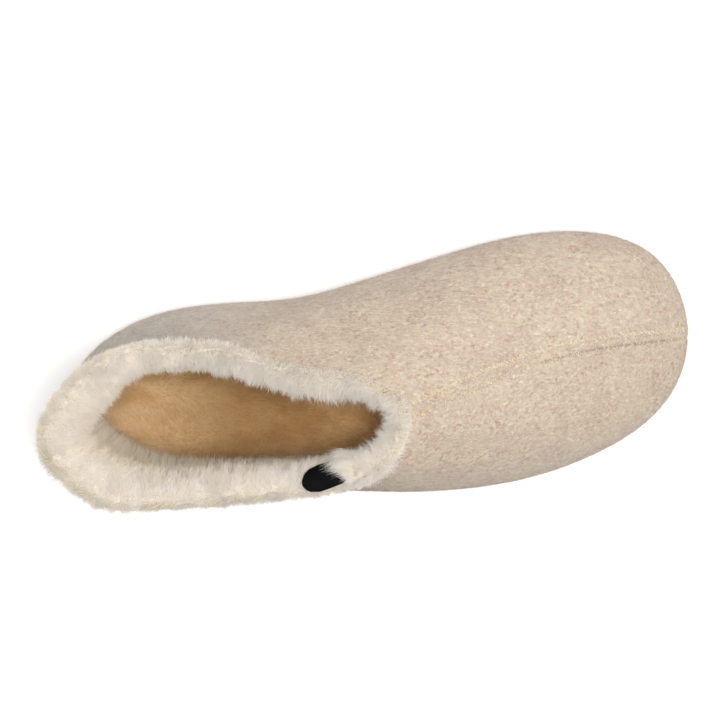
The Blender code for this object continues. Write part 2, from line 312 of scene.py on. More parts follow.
class ClosedCurve:
    """Smooth closed curve through rows of values, over the share of the way round."""

    def __init__(self, knots: Sequence[float], values: Sequence[Sequence[float]]) -> None:
        """Solve the bends of the curve.

        Args:
            knots: shares of the way round, rising from 0.
            values: one row of numbers for each knot.
        """
        self.knots = np.asarray(knots, float)
        self.values = np.asarray(values, float)
        count = len(self.knots)
        self.spans = np.diff(np.append(self.knots, self.knots[0] + 1.0))
        matrix = np.zeros((count, count))
        right = np.zeros_like(self.values)
        for i in range(count):
            before = (i - 1) % count
            after = (i + 1) % count
            matrix[i, before] += self.spans[before]
            matrix[i, i] += 2 * (self.spans[before] + self.spans[i])
            matrix[i, after] += self.spans[i]
            slope_after = (self.values[after] - self.values[i]) / self.spans[i]
            slope_before = (self.values[i] - self.values[before]) / self.spans[before]
            right[i] = 6 * (slope_after - slope_before)
        self.bends = np.linalg.solve(matrix, right)

    def __call__(self, around: np.ndarray) -> np.ndarray:
        """Values at shares of the way round.

        Args:
            around: shares, of any shape.

        Returns:
            The values, with one more axis than around.
        """
        share = np.mod(around, 1.0)
        count = len(self.knots)
        i = np.clip(np.searchsorted(self.knots, share, side="right") - 1, 0, count - 1)
        j = (i + 1) % count
        span = self.spans[i][..., None]
        done = (share - self.knots[i])[..., None]
        left = span - done
        curved = (self.bends[i] * left**3 + self.bends[j] * done**3) / (6 * span)
        from_i = (self.values[i] / span - self.bends[i] * span / 6) * left
        from_j = (self.values[j] / span - self.bends[j] * span / 6) * done
        return curved + from_i + from_j


@dataclass
class BootForm:
    """Form of the boot, as functions of the way round (around) and up the wall (up)."""

    length: float = 270 * MM
    ball_width: float = 104 * MM
    throat_height: float = 93 * MM
    collar_back_height: float = 104 * MM
    collar_sweep: float = 2.0
    felt: float = 3 * MM
    gap: float = 0.3 * MM
    sole: float = 5 * MM
    sole_inset: float = 4 * MM
    sole_sides: int = 72
    insole: float = 7 * MM
    insole_inset: float = 9.6 * MM
    insole_heel_out: float = 2.6 * MM
    insole_heel_at: float = 0.56
    insole_heel_share: float = 0.08
    tuck: float = 6 * MM
    tuck_share: float = 0.2
    arch_rise: float = 3 * MM
    toe_spring: float = 6 * MM
    heel_flat_end: float = 0.27
    forefoot_flat: tuple[float, float] = (0.55, 0.745)
    heel_spill: float = 2.2
    heel_spill_at: float = 0.52
    heel_spill_share: float = 0.06
    seam_toe_shift: float = -0.006
    seam_bow: float = 0.0205
    seam_band_toe: float = 3.2 * MM
    seam_band_collar: float = 5.8 * MM
    step: float = 1e-3
    row_step: float = 0.05
    shift: np.ndarray = field(default_factory=lambda: np.zeros(3))

    def __post_init__(self) -> None:
        """Make the curves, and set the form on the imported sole."""
        self.feather = self._plan_curve(FEATHER)
        self.rim = self._plan_curve(RIM)
        scale = np.array([MM, MM, 1.0, MM, MM])
        rows = [np.array(row[1:]) * scale for row in WALL]
        self.wall_shape = ClosedCurve([row.around for row in WALL], rows)
        shares = np.arange(self.sole_sides) / self.sole_sides
        edge = self.inset_plan(shares, self.sole_inset)
        low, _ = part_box("outsole")
        self.shift = np.array([low.x - edge[:, 0].min(), low.y - edge[:, 1].min(), 0.0])

    def _plan_curve(self, rows: Sequence[Plan]) -> ClosedCurve:
        """Closed plan curve in metres through a table of shares."""
        points = [(row.along * self.length, row.across * self.ball_width / 2) for row in rows]
        return ClosedCurve([row.around for row in rows], points)

    def ground(self, x: np.ndarray) -> np.ndarray:
        """Rise of the underside over the floor: arch in the waist, spring at the toe.

        Args:
            x: places along the boot from the heel, in metres.

        Returns:
            The rise in metres.
        """
        share = np.asarray(x) / self.length
        front, back = self.forefoot_flat
        arch = np.clip((share - self.heel_flat_end) / (front - self.heel_flat_end), 0, 1)
        toe = np.clip((share - back) / (1 - back), 0, 1)
        return self.arch_rise * np.sin(np.pi * arch) ** 2 + self.toe_spring * toe**1.8

    def plan_normal(self, around: np.ndarray) -> np.ndarray:
        """Outward direction of the feather line in plan."""
        run = self.feather(around + self.step) - self.feather(around - self.step)
        return unit(np.stack([run[..., 1], -run[..., 0]], -1))

    def inset_plan(self, around: np.ndarray, inset: float | np.ndarray) -> np.ndarray:
        """Feather line moved inwards."""
        return self.feather(around) - self.plan_normal(around) * np.asarray(inset)[..., None]

    def insole_edge(self, around: np.ndarray) -> np.ndarray:
        """Edge of the footbed in plan, fuller at the outer heel."""
        fuller = near(around, self.insole_heel_at, self.insole_heel_share)
        return self.inset_plan(around, self.insole_inset - self.insole_heel_out * fuller)

    def wall(self, around: np.ndarray, up: np.ndarray) -> np.ndarray:
        """Outer face of the felt.

        Args:
            around: shares of the way round from the toe tip over the inner side.
            up: 0 at the sole, 1 at the felt edge, more past it.

        Returns:
            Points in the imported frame.
        """
        around, up = np.broadcast_arrays(np.asarray(around, float), np.asarray(up, float))
        foot_plan = self.feather(around)
        normal = self.plan_normal(around)
        rise, lean, reach, drop, pull = np.moveaxis(self.wall_shape(around), -1, 0)
        rim = self.rim(around)
        tucked = foot_plan[..., 0] - normal[..., 0] * self.tuck
        foot = self._lift(foot_plan, self.sole + self.gap + self.ground(tucked))
        sweep = ((1 - np.cos(2 * np.pi * around)) / 2) ** self.collar_sweep
        edge_height = self.throat_height + (self.collar_back_height - self.throat_height) * sweep
        edge = self._lift(rim, edge_height)
        low = foot + self._lift(normal * lean[..., None], rise)
        high = edge + self._lift((foot_plan - rim) * reach[..., None] - normal * pull[..., None], -drop)
        u = np.minimum(up, 1.0)[..., None]
        point = foot * (1 - u) ** 3 + 3 * low * u * (1 - u) ** 2 + 3 * high * u**2 * (1 - u) + edge * u**3
        point = point + 3 * (edge - high) * (np.maximum(up, 1.0)[..., None] - 1)
        tuck = self.tuck * np.maximum(0.0, 1 - up / self.tuck_share) ** 2
        return point - self._lift(normal * tuck[..., None], 0.0) + self.shift

    @staticmethod
    def _lift(plan: np.ndarray, height: np.ndarray) -> np.ndarray:
        """Plan points at a height."""
        return np.concatenate([plan, np.broadcast_to(height, plan.shape[:-1])[..., None]], -1)

    def wall_axes(self, around: np.ndarray, up: np.ndarray) -> tuple[np.ndarray, np.ndarray, np.ndarray]:
        """Directions of the felt's face.

        Args:
            around: shares of the way round.
            up: heights up the wall.

        Returns:
            Outward normal, direction round the boot and direction up the wall.
        """
        top = np.minimum(up, 1.0)
        round_way = self.wall(around + self.step, top) - self.wall(around - self.step, top)
        up_way = self.wall(around, top) - self.wall(around, top - self.step)
        return unit(np.cross(round_way, up_way)), unit(round_way), unit(up_way)

    def pace(self, around: np.ndarray, up: np.ndarray) -> np.ndarray:
        """Metres on the face for one whole way round."""
        run = self.wall(around + self.step, up) - self.wall(around - self.step, up)
        return np.linalg.norm(run, axis=-1) / (2 * self.step)

    def edge_up(self, around: np.ndarray, past: np.ndarray) -> np.ndarray:
        """Height up the wall at a distance past the felt edge."""
        run = self.wall(around, 1.0) - self.wall(around, 1.0 - self.step)
        return 1.0 + past * self.step / np.linalg.norm(run, axis=-1)

    def edge_point(self, around: np.ndarray, past: np.ndarray, out: np.ndarray) -> np.ndarray:
        """Point by its way past the felt edge and out from the felt's face.

        Args:
            around: shares of the way round.
            past: distance past the felt edge.
            out: distance out from the felt's face.

        Returns:
            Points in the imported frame.
        """
        around, past, out = np.broadcast_arrays(np.asarray(around, float), past, out)
        up = self.edge_up(around, past)
        normal, _, _ = self.wall_axes(around, up)
        return self.wall(around, up) + normal * out[..., None]

    def at_heel(self, around: np.ndarray) -> np.ndarray:
        """Weight of the heel, where the pile spills outwards."""
        return near(around, self.heel_spill_at, self.heel_spill_share, 2.0)

    def pile_point(self, around: np.ndarray, row: np.ndarray) -> np.ndarray:
        """Face of the pile ring.

        Args:
            around: shares of the way round.
            row: rows of the pile's section, with shares between them.

        Returns:
            Points of the ring without its locks.
        """
        around, row = np.broadcast_arrays(np.asarray(around, float), np.asarray(row, float))
        table = np.array(PILE_SECTION) * MM
        low = np.floor(row).astype(int)
        share = (row - low)[..., None]
        a, b, c, d = [table[(low + i) % len(table)] for i in (-1, 0, 1, 2)]
        spread = 2 * a - 5 * b + 4 * c - d
        mixed = b + 0.5 * share * (c - a + share * (spread + share * (3 * (b - c) + d - a)))
        spill = mixed[..., 2] * self.heel_spill * self.at_heel(around)
        return self.edge_point(around, mixed[..., 0], mixed[..., 1] + spill)

    def pile_axes(self, around: np.ndarray, row: np.ndarray) -> tuple[np.ndarray, np.ndarray, np.ndarray]:
        """Directions of the pile ring's face.

        Args:
            around: shares of the way round.
            row: rows of the pile's section.

        Returns:
            Outward normal, direction round the collar and direction along the section.
        """
        round_way = self.pile_point(around + self.step, row) - self.pile_point(around - self.step, row)
        row_way = self.pile_point(around, row + self.row_step) - self.pile_point(around, row - self.row_step)
        return unit(np.cross(round_way, row_way)), unit(round_way), unit(row_way)

    def seam_around(self, up: np.ndarray) -> np.ndarray:
        """Way round of the centre front seam."""
        return self.seam_toe_shift * (1 - up) + self.seam_bow * np.sin(np.pi * up**2)

    def seam_band(self, up: np.ndarray) -> np.ndarray:
        """Distance between the seam's two rows."""
        return self.seam_band_toe + (self.seam_band_collar - self.seam_band_toe) * up


class Mesher:
    """Short ways to make this boot's meshes."""

    @staticmethod
    def link(name: str, mesh: bpy.types.Mesh, material: bpy.types.Material) -> bpy.types.Object:
        """Object of a finished mesh.

        Args:
            name: name of the piece.
            mesh: its mesh, in place.
            material: its finish.

        Returns:
            The linked object.
        """
        mesh.materials.append(material)
        obj = bpy.data.objects.new(name, mesh)
        bpy.context.scene.collection.objects.link(obj)
        return obj

    @staticmethod
    @contextmanager
    def edited(mesh: bpy.types.Mesh) -> Iterator[bmesh.types.BMesh]:
        """Open a mesh for bmesh operators, and write it back at the end.

        Args:
            mesh: the mesh to change.

        Returns:
            A context that gives the mesh's bmesh.
        """
        bm = bmesh.new()
        bm.from_mesh(mesh)
        yield bm
        bm.to_mesh(mesh)
        bm.free()

    @staticmethod
    def grid(name: str, columns: int, rows: int, place: Callable[[np.ndarray, np.ndarray], np.ndarray],
             mark: Callable[[np.ndarray, np.ndarray], np.ndarray] | None = None) -> bpy.types.Mesh:
        """Grid bent into a surface.

        Args:
            name: name of the mesh.
            columns: cells along the first share.
            rows: cells along the second share.
            place: gives points for arrays of both shares, from 0 to 1.
            mark: gives a value for the attribute mark at both shares.

        Returns:
            The smooth mesh, with edges that meet joined.
        """
        mesh = bpy.data.meshes.new(name)
        with Mesher.edited(mesh) as bm:
            bmesh.ops.create_grid(bm, x_segments=columns, y_segments=rows, size=0.5)
            shares = np.array([(vert.co.x, vert.co.y) for vert in bm.verts]) + 0.5
            for vert, point in zip(bm.verts, place(shares[:, 0], shares[:, 1])):
                vert.co = point
            if mark is not None:
                layer = bm.verts.layers.float.new("mark")
                for vert, value in zip(bm.verts, mark(shares[:, 0], shares[:, 1])):
                    vert[layer] = value
            bmesh.ops.remove_doubles(bm, verts=bm.verts, dist=WELD)
        mesh.shade_smooth()
        return mesh

    @staticmethod
    def triangles(name: str, points: np.ndarray, corners: np.ndarray, tints: np.ndarray,
                  normals: np.ndarray) -> bpy.types.Mesh:
        """Many small triangles as one mesh.

        Args:
            name: name of the mesh.
            points: places of the vertices.
            corners: three vertex numbers for each triangle.
            tints: a colour for each vertex.
            normals: a shading normal for each vertex.

        Returns:
            The mesh, with its colours in the attribute tint.
        """
        mesh = bpy.data.meshes.new(name)
        mesh.vertices.add(len(points))
        mesh.vertices.foreach_set("co", points.astype(np.float32).ravel())
        mesh.loops.add(corners.size)
        mesh.loops.foreach_set("vertex_index", corners.astype(np.int32).ravel())
        mesh.polygons.add(len(corners))
        mesh.polygons.foreach_set("loop_start", np.arange(0, corners.size, 3, dtype=np.int32))
        mesh.update(calc_edges=True)
        mesh.shade_smooth()
        attribute = mesh.color_attributes.new("tint", "FLOAT_COLOR", "POINT")
        with_alpha = np.concatenate([tints, np.ones((len(tints), 1))], 1)
        attribute.data.foreach_set("color", with_alpha.astype(np.float32).ravel())
        mesh.normals_split_custom_set_from_vertices(normals.astype(np.float32).tolist())
        return mesh


class NodeBench:
    """Node tree of one finish, with short calls for the nodes that the finishes share."""

    def __init__(self, name: str) -> None:
        """Start a material of that name with a Principled shader.

        Args:
            name: name of the material.
        """
        self.material = bpy.data.materials.new(name)
        self.material.use_nodes = True
        self.tree = self.material.node_tree
        self.shader = self.tree.nodes["Principled BSDF"]
        self.place = self.tree.nodes.new("ShaderNodeTexCoord").outputs["Object"]

    def feed(self, socket: bpy.types.NodeSocket, value: object) -> None:
        """Link a socket to another, or set its value.

        Args:
            socket: input to fill.
            value: output socket, number or colour.
        """
        if isinstance(value, bpy.types.NodeSocket):
            self.tree.links.new(value, socket)
        elif isinstance(value, tuple) and len(value) == 3 and socket.type == "RGBA":
            socket.default_value = (*value, 1.0)
        else:
            socket.default_value = value

    def stretched(self, scale: tuple[float, float, float],
                  turn: tuple[float, float, float] = (0, 0, 0)) -> bpy.types.NodeSocket:
        """Object coordinates turned and stretched.

        Args:
            scale: stretch along each axis.
            turn: turn about each axis, in degrees.

        Returns:
            The mapped coordinates.
        """
        node = self.tree.nodes.new("ShaderNodeMapping")
        node.inputs["Rotation"].default_value = [math.radians(angle) for angle in turn]
        node.inputs["Scale"].default_value = scale
        self.tree.links.new(self.place, node.inputs["Vector"])
        return node.outputs["Vector"]

    def along(self, axis: str) -> bpy.types.NodeSocket:
        """One of the object's own coordinates, in metres.

        Args:
            axis: X, Y or Z.

        Returns:
            The coordinate.
        """
        node = self.tree.nodes.new("ShaderNodeSeparateXYZ")
        self.tree.links.new(self.place, node.inputs["Vector"])
        return node.outputs[axis]

    def noise(self, grain: float, detail: float = 2.0, rough: float = 0.5, warp: float = 0.0,
              vector: bpy.types.NodeSocket | None = None) -> bpy.types.NodeSocket:
        """Noise with grains of a size.

        Args:
            grain: size of one grain in metres.
            detail: octaves of finer noise.
            rough: weight of the finer noise.
            warp: distortion of the pattern.
            vector: coordinates, if not the object's own.

        Returns:
            The noise's factor.
        """
        node = self.tree.nodes.new("ShaderNodeTexNoise")
        node.inputs["Scale"].default_value = 1.0 / grain
        node.inputs["Detail"].default_value = detail
        node.inputs["Roughness"].default_value = rough
        node.inputs["Distortion"].default_value = warp
        self.tree.links.new(vector or self.place, node.inputs["Vector"])
        return node.outputs["Fac"]

    def between(self, value: bpy.types.NodeSocket, low: float, high: float,
                to: tuple[float, float] = (0.0, 1.0)) -> bpy.types.NodeSocket:
        """Smooth map of a value from one range to another.

        Args:
            value: the value.
            low: where the rise starts.
            high: where it ends.
            to: results at both ends.

        Returns:
            The mapped value.
        """
        node = self.tree.nodes.new("ShaderNodeMapRange")
        node.interpolation_type = "SMOOTHSTEP"
        node.inputs["From Min"].default_value = low
        node.inputs["From Max"].default_value = high
        node.inputs["To Min"].default_value, node.inputs["To Max"].default_value = to
        self.tree.links.new(value, node.inputs["Value"])
        return node.outputs["Result"]

    def mix(self, factor: object, first: object, second: object,
            blend: str = "MIX") -> bpy.types.NodeSocket:
        """Mix of two colours.

        Args:
            factor: share of the second.
            first: colour or socket.
            second: colour or socket.
            blend: way of mixing.

        Returns:
            The mixed colour.
        """
        node = self.tree.nodes.new("ShaderNodeMix")
        node.data_type = "RGBA"
        node.blend_type = blend
        self.feed(node.inputs["Factor"], factor)
        self.feed(node.inputs[6], first)
        self.feed(node.inputs[7], second)
        return node.outputs[2]

    def math(self, operation: str, first: object, second: object) -> bpy.types.NodeSocket:
        """Result of a maths operation on two values.

        Args:
            operation: name of the operation.
            first: number or socket.
            second: number or socket.

        Returns:
            The result.
        """
        node = self.tree.nodes.new("ShaderNodeMath")
        node.operation = operation
        self.feed(node.inputs[0], first)
        self.feed(node.inputs[1], second)
        return node.outputs[0]

    def attribute(self, name: str, output: str = "Color") -> bpy.types.NodeSocket:
        """Attribute of the mesh, as a colour or as a factor.

        Args:
            name: name of the attribute.
            output: Color or Fac.

        Returns:
            The attribute's value.
        """
        node = self.tree.nodes.new("ShaderNodeAttribute")
        node.attribute_name = name
        return node.outputs[output]

    def bump(self, height: bpy.types.NodeSocket, distance: float, strength: float = 1.0) -> None:
        """Bump of the shader's normal.

        Args:
            height: height from 0 to 1.
            distance: height of 1 in metres.
            strength: share of the effect.
        """
        node = self.tree.nodes.new("ShaderNodeBump")
        node.inputs["Distance"].default_value = distance
        node.inputs["Strength"].default_value = strength
        self.tree.links.new(height, node.inputs["Height"])
        self.tree.links.new(node.outputs["Normal"], self.shader.inputs["Normal"])

    def finish(self, color: object, roughness: object, sheen: float = 0.0,
               specular: float = 0.3) -> bpy.types.Material:
        """Set the shader and give the material.

        Args:
            color: base colour or socket.
            roughness: roughness or socket.
            sheen: weight of the soft fuzz sheen.
            specular: level of the gloss.

        Returns:
            The finished material.
        """
        self.feed(self.shader.inputs["Base Color"], color)
        self.feed(self.shader.inputs["Roughness"], roughness)
        self.shader.inputs["Sheen Weight"].default_value = sheen
        self.shader.inputs["Sheen Roughness"].default_value = 0.6
        self.shader.inputs["Specular IOR Level"].default_value = specular
        return self.material

    def let_light_through(self, color: bpy.types.NodeSocket, share: float) -> None:
        """Mix a translucent shader with the finish.

        Args:
            color: colour of the light that comes through.
            share: share of the translucent shader.
        """
        through = self.tree.nodes.new("ShaderNodeBsdfTranslucent")
        both = self.tree.nodes.new("ShaderNodeMixShader")
        both.inputs[0].default_value = share
        self.tree.links.new(color, through.inputs["Color"])
        self.tree.links.new(self.shader.outputs[0], both.inputs[1])
        self.tree.links.new(through.outputs[0], both.inputs[2])
        self.tree.links.new(both.outputs[0], self.tree.nodes["Material Output"].inputs["Surface"])


@dataclass(frozen=True)
class FeltFinish:
    """Oatmeal wool felt: cream ground, pink-brown, grey and pale flecks, and matted fibres, with painted
    shade in the seam's groove and painted cool shade on the inner heel.
    """

    cream: tuple[float, float, float] = (0.635, 0.55, 0.43)
    tan: tuple[float, float, float] = (0.585, 0.485, 0.39)
    blush: tuple[float, float, float] = (0.60, 0.47, 0.385)
    pink: tuple[float, float, float] = (0.40, 0.23, 0.15)
    grey: tuple[float, float, float] = (0.40, 0.35, 0.32)
    pale: tuple[float, float, float] = (0.82, 0.76, 0.66)
    # groove: painted shade of the seam's open groove.
    groove: tuple[float, float, float] = (0.16, 0.085, 0.05)
    heel_cool_shade: tuple[float, float, float] = (0.95, 1.05, 1.2)
    heel_shade_share: float = 0.75
    patch: float = 14 * MM
    mottle: float = 3.2 * MM
    fleck: float = 1.7 * MM
    fibre: float = 0.9 * MM
    fuzz_cream: tuple[float, float, float] = (1.04, 1.03, 1.0)
    fuzz_grey: tuple[float, float, float] = (0.82, 0.80, 0.80)
    fuzz_pink: tuple[float, float, float] = (1.0, 0.82, 0.72)
    cream_share: float = 0.7
    grey_share: float = 0.18

    def color(self, bench: NodeBench) -> bpy.types.NodeSocket:
        """Mottled colour of the felt on a bench, with painted cool shade on the inner heel.

        Args:
            bench: bench of the material.

        Returns:
            The colour.
        """
        patches = bench.between(bench.noise(self.patch, 3, 0.6), 0.40, 0.64)
        ground = bench.mix(patches, self.cream, self.tan)
        mottle = bench.between(bench.noise(self.mottle, 2, 0.6, 0.2), 0.42, 0.62)
        ground = bench.mix(bench.math("MULTIPLY", mottle, 0.6), ground, self.blush)
        groups = bench.between(bench.noise(self.patch * 0.7, 2, 0.5, 0.4), 0.40, 0.62, (0.25, 1.0))
        pink = bench.between(bench.noise(self.fleck, 1, 0.5, 0.1), 0.53, 0.68)
        grouped = bench.math("MULTIPLY", pink, groups)
        ground = bench.mix(bench.math("MULTIPLY", grouped, 0.5), ground, self.pink)
        shifted = bench.stretched((1, 1, 1), (35, 50, 20))
        grey = bench.between(bench.noise(self.fleck * 1.3, 2, 0.6, 0.1, shifted), 0.54, 0.74)
        ground = bench.mix(bench.math("MULTIPLY", grey, 0.4), ground, self.grey)
        turned = bench.stretched((1, 1, 1), (70, 10, 65))
        pale = bench.between(bench.noise(self.fleck * 0.9, 2, 0.5, 0.1, turned), 0.55, 0.72)
        ground = bench.mix(bench.math("MULTIPLY", pale, 0.45), ground, self.pale)
        # Painted cool shade on the inner side of the heel.
        at_heel = bench.between(bench.along("X"), -25 * MM, -100 * MM, (0.0, self.heel_shade_share))
        inside = bench.between(bench.along("Y"), 0.0, 35 * MM)
        return bench.mix(bench.math("MULTIPLY", at_heel, inside), ground, self.heel_cool_shade, "MULTIPLY")

    def fibres(self, bench: NodeBench) -> bpy.types.NodeSocket:
        """Height of matted fibres that lie in three directions.

        Args:
            bench: bench of the material.

        Returns:
            The height, from 0 to 1.
        """
        height = None
        for turn in ((0, 0, 20), (10, 40, 80), (60, 15, 140)):
            streak = bench.noise(self.fibre, 3, 0.6, 0.5, bench.stretched((0.25, 1, 1), turn))
            height = streak if height is None else bench.math("ADD", height, streak)
        return bench.math("DIVIDE", height, 3.0)

    def material(self) -> bpy.types.Material:
        """Felt's finish, with painted shade in the seam's groove.

        Returns:
            The material.
        """
        bench = NodeBench("wool felt")
        fibres = self.fibres(bench)
        shade = bench.between(fibres, 0.36, 0.64, (0.80, 1.12))
        color = bench.mix(1.0, self.color(bench), shade, "MULTIPLY")
        # Painted shade in the seam's groove, from the mark attribute.
        color = bench.mix(bench.attribute("mark", "Fac"), color, self.groove)
        bench.bump(fibres, 0.9 * MM)
        return bench.finish(color, 0.95, sheen=0.25, specular=0.12)

    def fuzz_tints(self, kind: np.ndarray) -> np.ndarray:
        """Tints of loose fibres by their draws from 0 to 1: most cream, some grey, a few pink."""
        dark = np.where(kind < self.cream_share + self.grey_share, self.fuzz_grey, self.fuzz_pink)
        return np.where(kind < self.cream_share, self.fuzz_cream, dark)

    def fuzz_material(self) -> bpy.types.Material:
        """Finish of the loose fibres, tinted one by one over the felt's colour and its painted heel shade.

        Returns:
            The material.
        """
        bench = NodeBench("felt fuzz")
        color = bench.mix(1.0, self.color(bench), bench.attribute("tint"), "MULTIPLY")
        return bench.finish(color, 0.95, sheen=0.2, specular=0.1)


@dataclass(frozen=True)
class PileFinish:
    """Cream pile: near white tips over warmer roots."""

    tip: tuple[float, float, float] = (0.935, 0.92, 0.90)
    root: tuple[float, float, float] = (0.93, 0.83, 0.68)
    # Ground colours, darkened as painted shade of the hairs over the ground.
    ground: tuple[float, float, float] = (0.64, 0.59, 0.51)
    ground_warm: tuple[float, float, float] = (0.69, 0.62, 0.51)
    # deep: painted warm shade deep in the lining, near the footbed.
    deep: tuple[float, float, float] = (0.82, 0.63, 0.40)
    through: float = 0.42
    clump: float = 5 * MM

    def hair_material(self) -> bpy.types.Material:
        """Finish of the single hairs.

        Returns:
            The material.
        """
        bench = NodeBench("cream pile hair")
        tint = bench.attribute("tint")
        bench.let_light_through(tint, self.through)
        return bench.finish(tint, 0.85, sheen=0.15, specular=0.15)

    def base_material(self) -> bpy.types.Material:
        """Finish of the knitted ground under the hairs, darkened as painted shade of the hairs over it.

        Returns:
            The material.
        """
        bench = NodeBench("cream pile ground")
        lumps = bench.noise(self.clump, 3, 0.6)
        color = bench.mix(bench.between(lumps, 0.35, 0.65), self.ground, self.ground_warm)
        bench.bump(lumps, 1.5 * MM)
        return bench.finish(color, 0.95, sheen=0.2, specular=0.1)


@dataclass(frozen=True)
class PlushFinish:
    """Short tan plush of the footbed, brushed in soft patches."""

    tan: tuple[float, float, float] = (0.50, 0.30, 0.132)
    deep: tuple[float, float, float] = (0.41, 0.22, 0.082)
    patch: float = 12 * MM

    def color(self, bench: NodeBench) -> bpy.types.NodeSocket:
        """Brushed colour on a bench."""
        brushed = bench.noise(self.patch, 4, 0.6, 0.4, bench.stretched((0.6, 1, 1)))
        return bench.mix(bench.between(brushed, 0.38, 0.68), self.tan, self.deep)

    def material(self) -> bpy.types.Material:
        """Finish of the plush ground.

        Returns:
            The material.
        """
        bench = NodeBench("tan plush ground")
        grain = bench.noise(0.8 * MM, 3, 0.7)
        bench.bump(grain, 0.6 * MM)
        return bench.finish(self.color(bench), 0.95, sheen=0.3, specular=0.1)

    def nap_material(self) -> bpy.types.Material:
        """Finish of the nap's hairs.

        Returns:
            The material.
        """
        bench = NodeBench("tan plush nap")
        color = bench.mix(1.0, self.color(bench), bench.attribute("tint"), "MULTIPLY")
        return bench.finish(color, 0.9, sheen=0.2, specular=0.12)


@dataclass(frozen=True)
class ThreadFinish:
    """Yellow-cream sewing thread."""

    yellow: tuple[float, float, float] = (0.77, 0.65, 0.36)
    pale: tuple[float, float, float] = (0.80, 0.70, 0.52)
    # Painted shade of the needle holes.
    hole_shade: tuple[float, float, float] = (0.14, 0.075, 0.045)

    def tints(self, yellow: np.ndarray) -> np.ndarray:
        """Colours between pale, at 0, and yellow, at 1."""
        return colors_between(self.pale, self.yellow, np.clip(yellow, 0, 1)[:, None])

    def material(self) -> bpy.types.Material:
        """Finish of the thread.

        Returns:
            The material.
        """
        bench = NodeBench("cream thread")
        bench.bump(bench.noise(0.25 * MM, 1, 0.5), 0.1 * MM)
        return bench.finish(bench.attribute("tint"), 0.8, sheen=0.1, specular=0.2)


@dataclass(frozen=True)
class TabFinish:
    """Plain black moulded tab."""

    color: tuple[float, float, float] = (0.003, 0.003, 0.0035)

    def material(self) -> bpy.types.Material:
        """Finish of the tab.

        Returns:
            The material.
        """
        bench = NodeBench("plain black tab")
        bench.bump(bench.noise(0.7 * MM, 1, 0.5), 0.012 * MM)
        roughness = bench.between(bench.noise(4 * MM, 2, 0.5), 0.3, 0.7, (0.6, 0.75))
        return bench.finish(self.color, roughness, specular=0.05)


@dataclass(frozen=True)
class SoleFinish:
    """Matt dark sole sheet with a fine grain."""

    color: tuple[float, float, float] = (0.15, 0.11, 0.08)
    worn: tuple[float, float, float] = (0.20, 0.155, 0.12)

    def material(self) -> bpy.types.Material:
        """Finish of the sole.

        Returns:
            The material.
        """
        bench = NodeBench("sole sheet")
        patches = bench.between(bench.noise(18 * MM, 3, 0.6), 0.4, 0.65)
        grain = bench.noise(0.9 * MM, 3, 0.6)
        bench.bump(grain, 0.25 * MM)
        color = bench.mix(patches, self.color, self.worn)
        return bench.finish(color, bench.between(grain, 0.3, 0.7, (0.7, 0.9)), specular=0.25)


class HairShape(Enum):
    """Shape of a hair's ribbon."""

    STRAIGHT = "straight"
    BENT = "bent"


@dataclass(frozen=True)
class HairCut:
    """Sizes of one coat of hairs."""

    count: int
    length: float
    width: float
    seed: int
    vary: float = 0.35
    lean: float = 1.0
    scatter: float = 0.26
    clump: float = 4.5 * MM
    clump_pull: float = 0.4
    clump_tone: float = 0.0
    clump_shade: float = 0.0
    glow: float = 0.7
    palest: float = 3.0
    bend: float = 0.55
    droop: float = 0.5
    taper: float = 0.8
    least_rise: float = 0.12


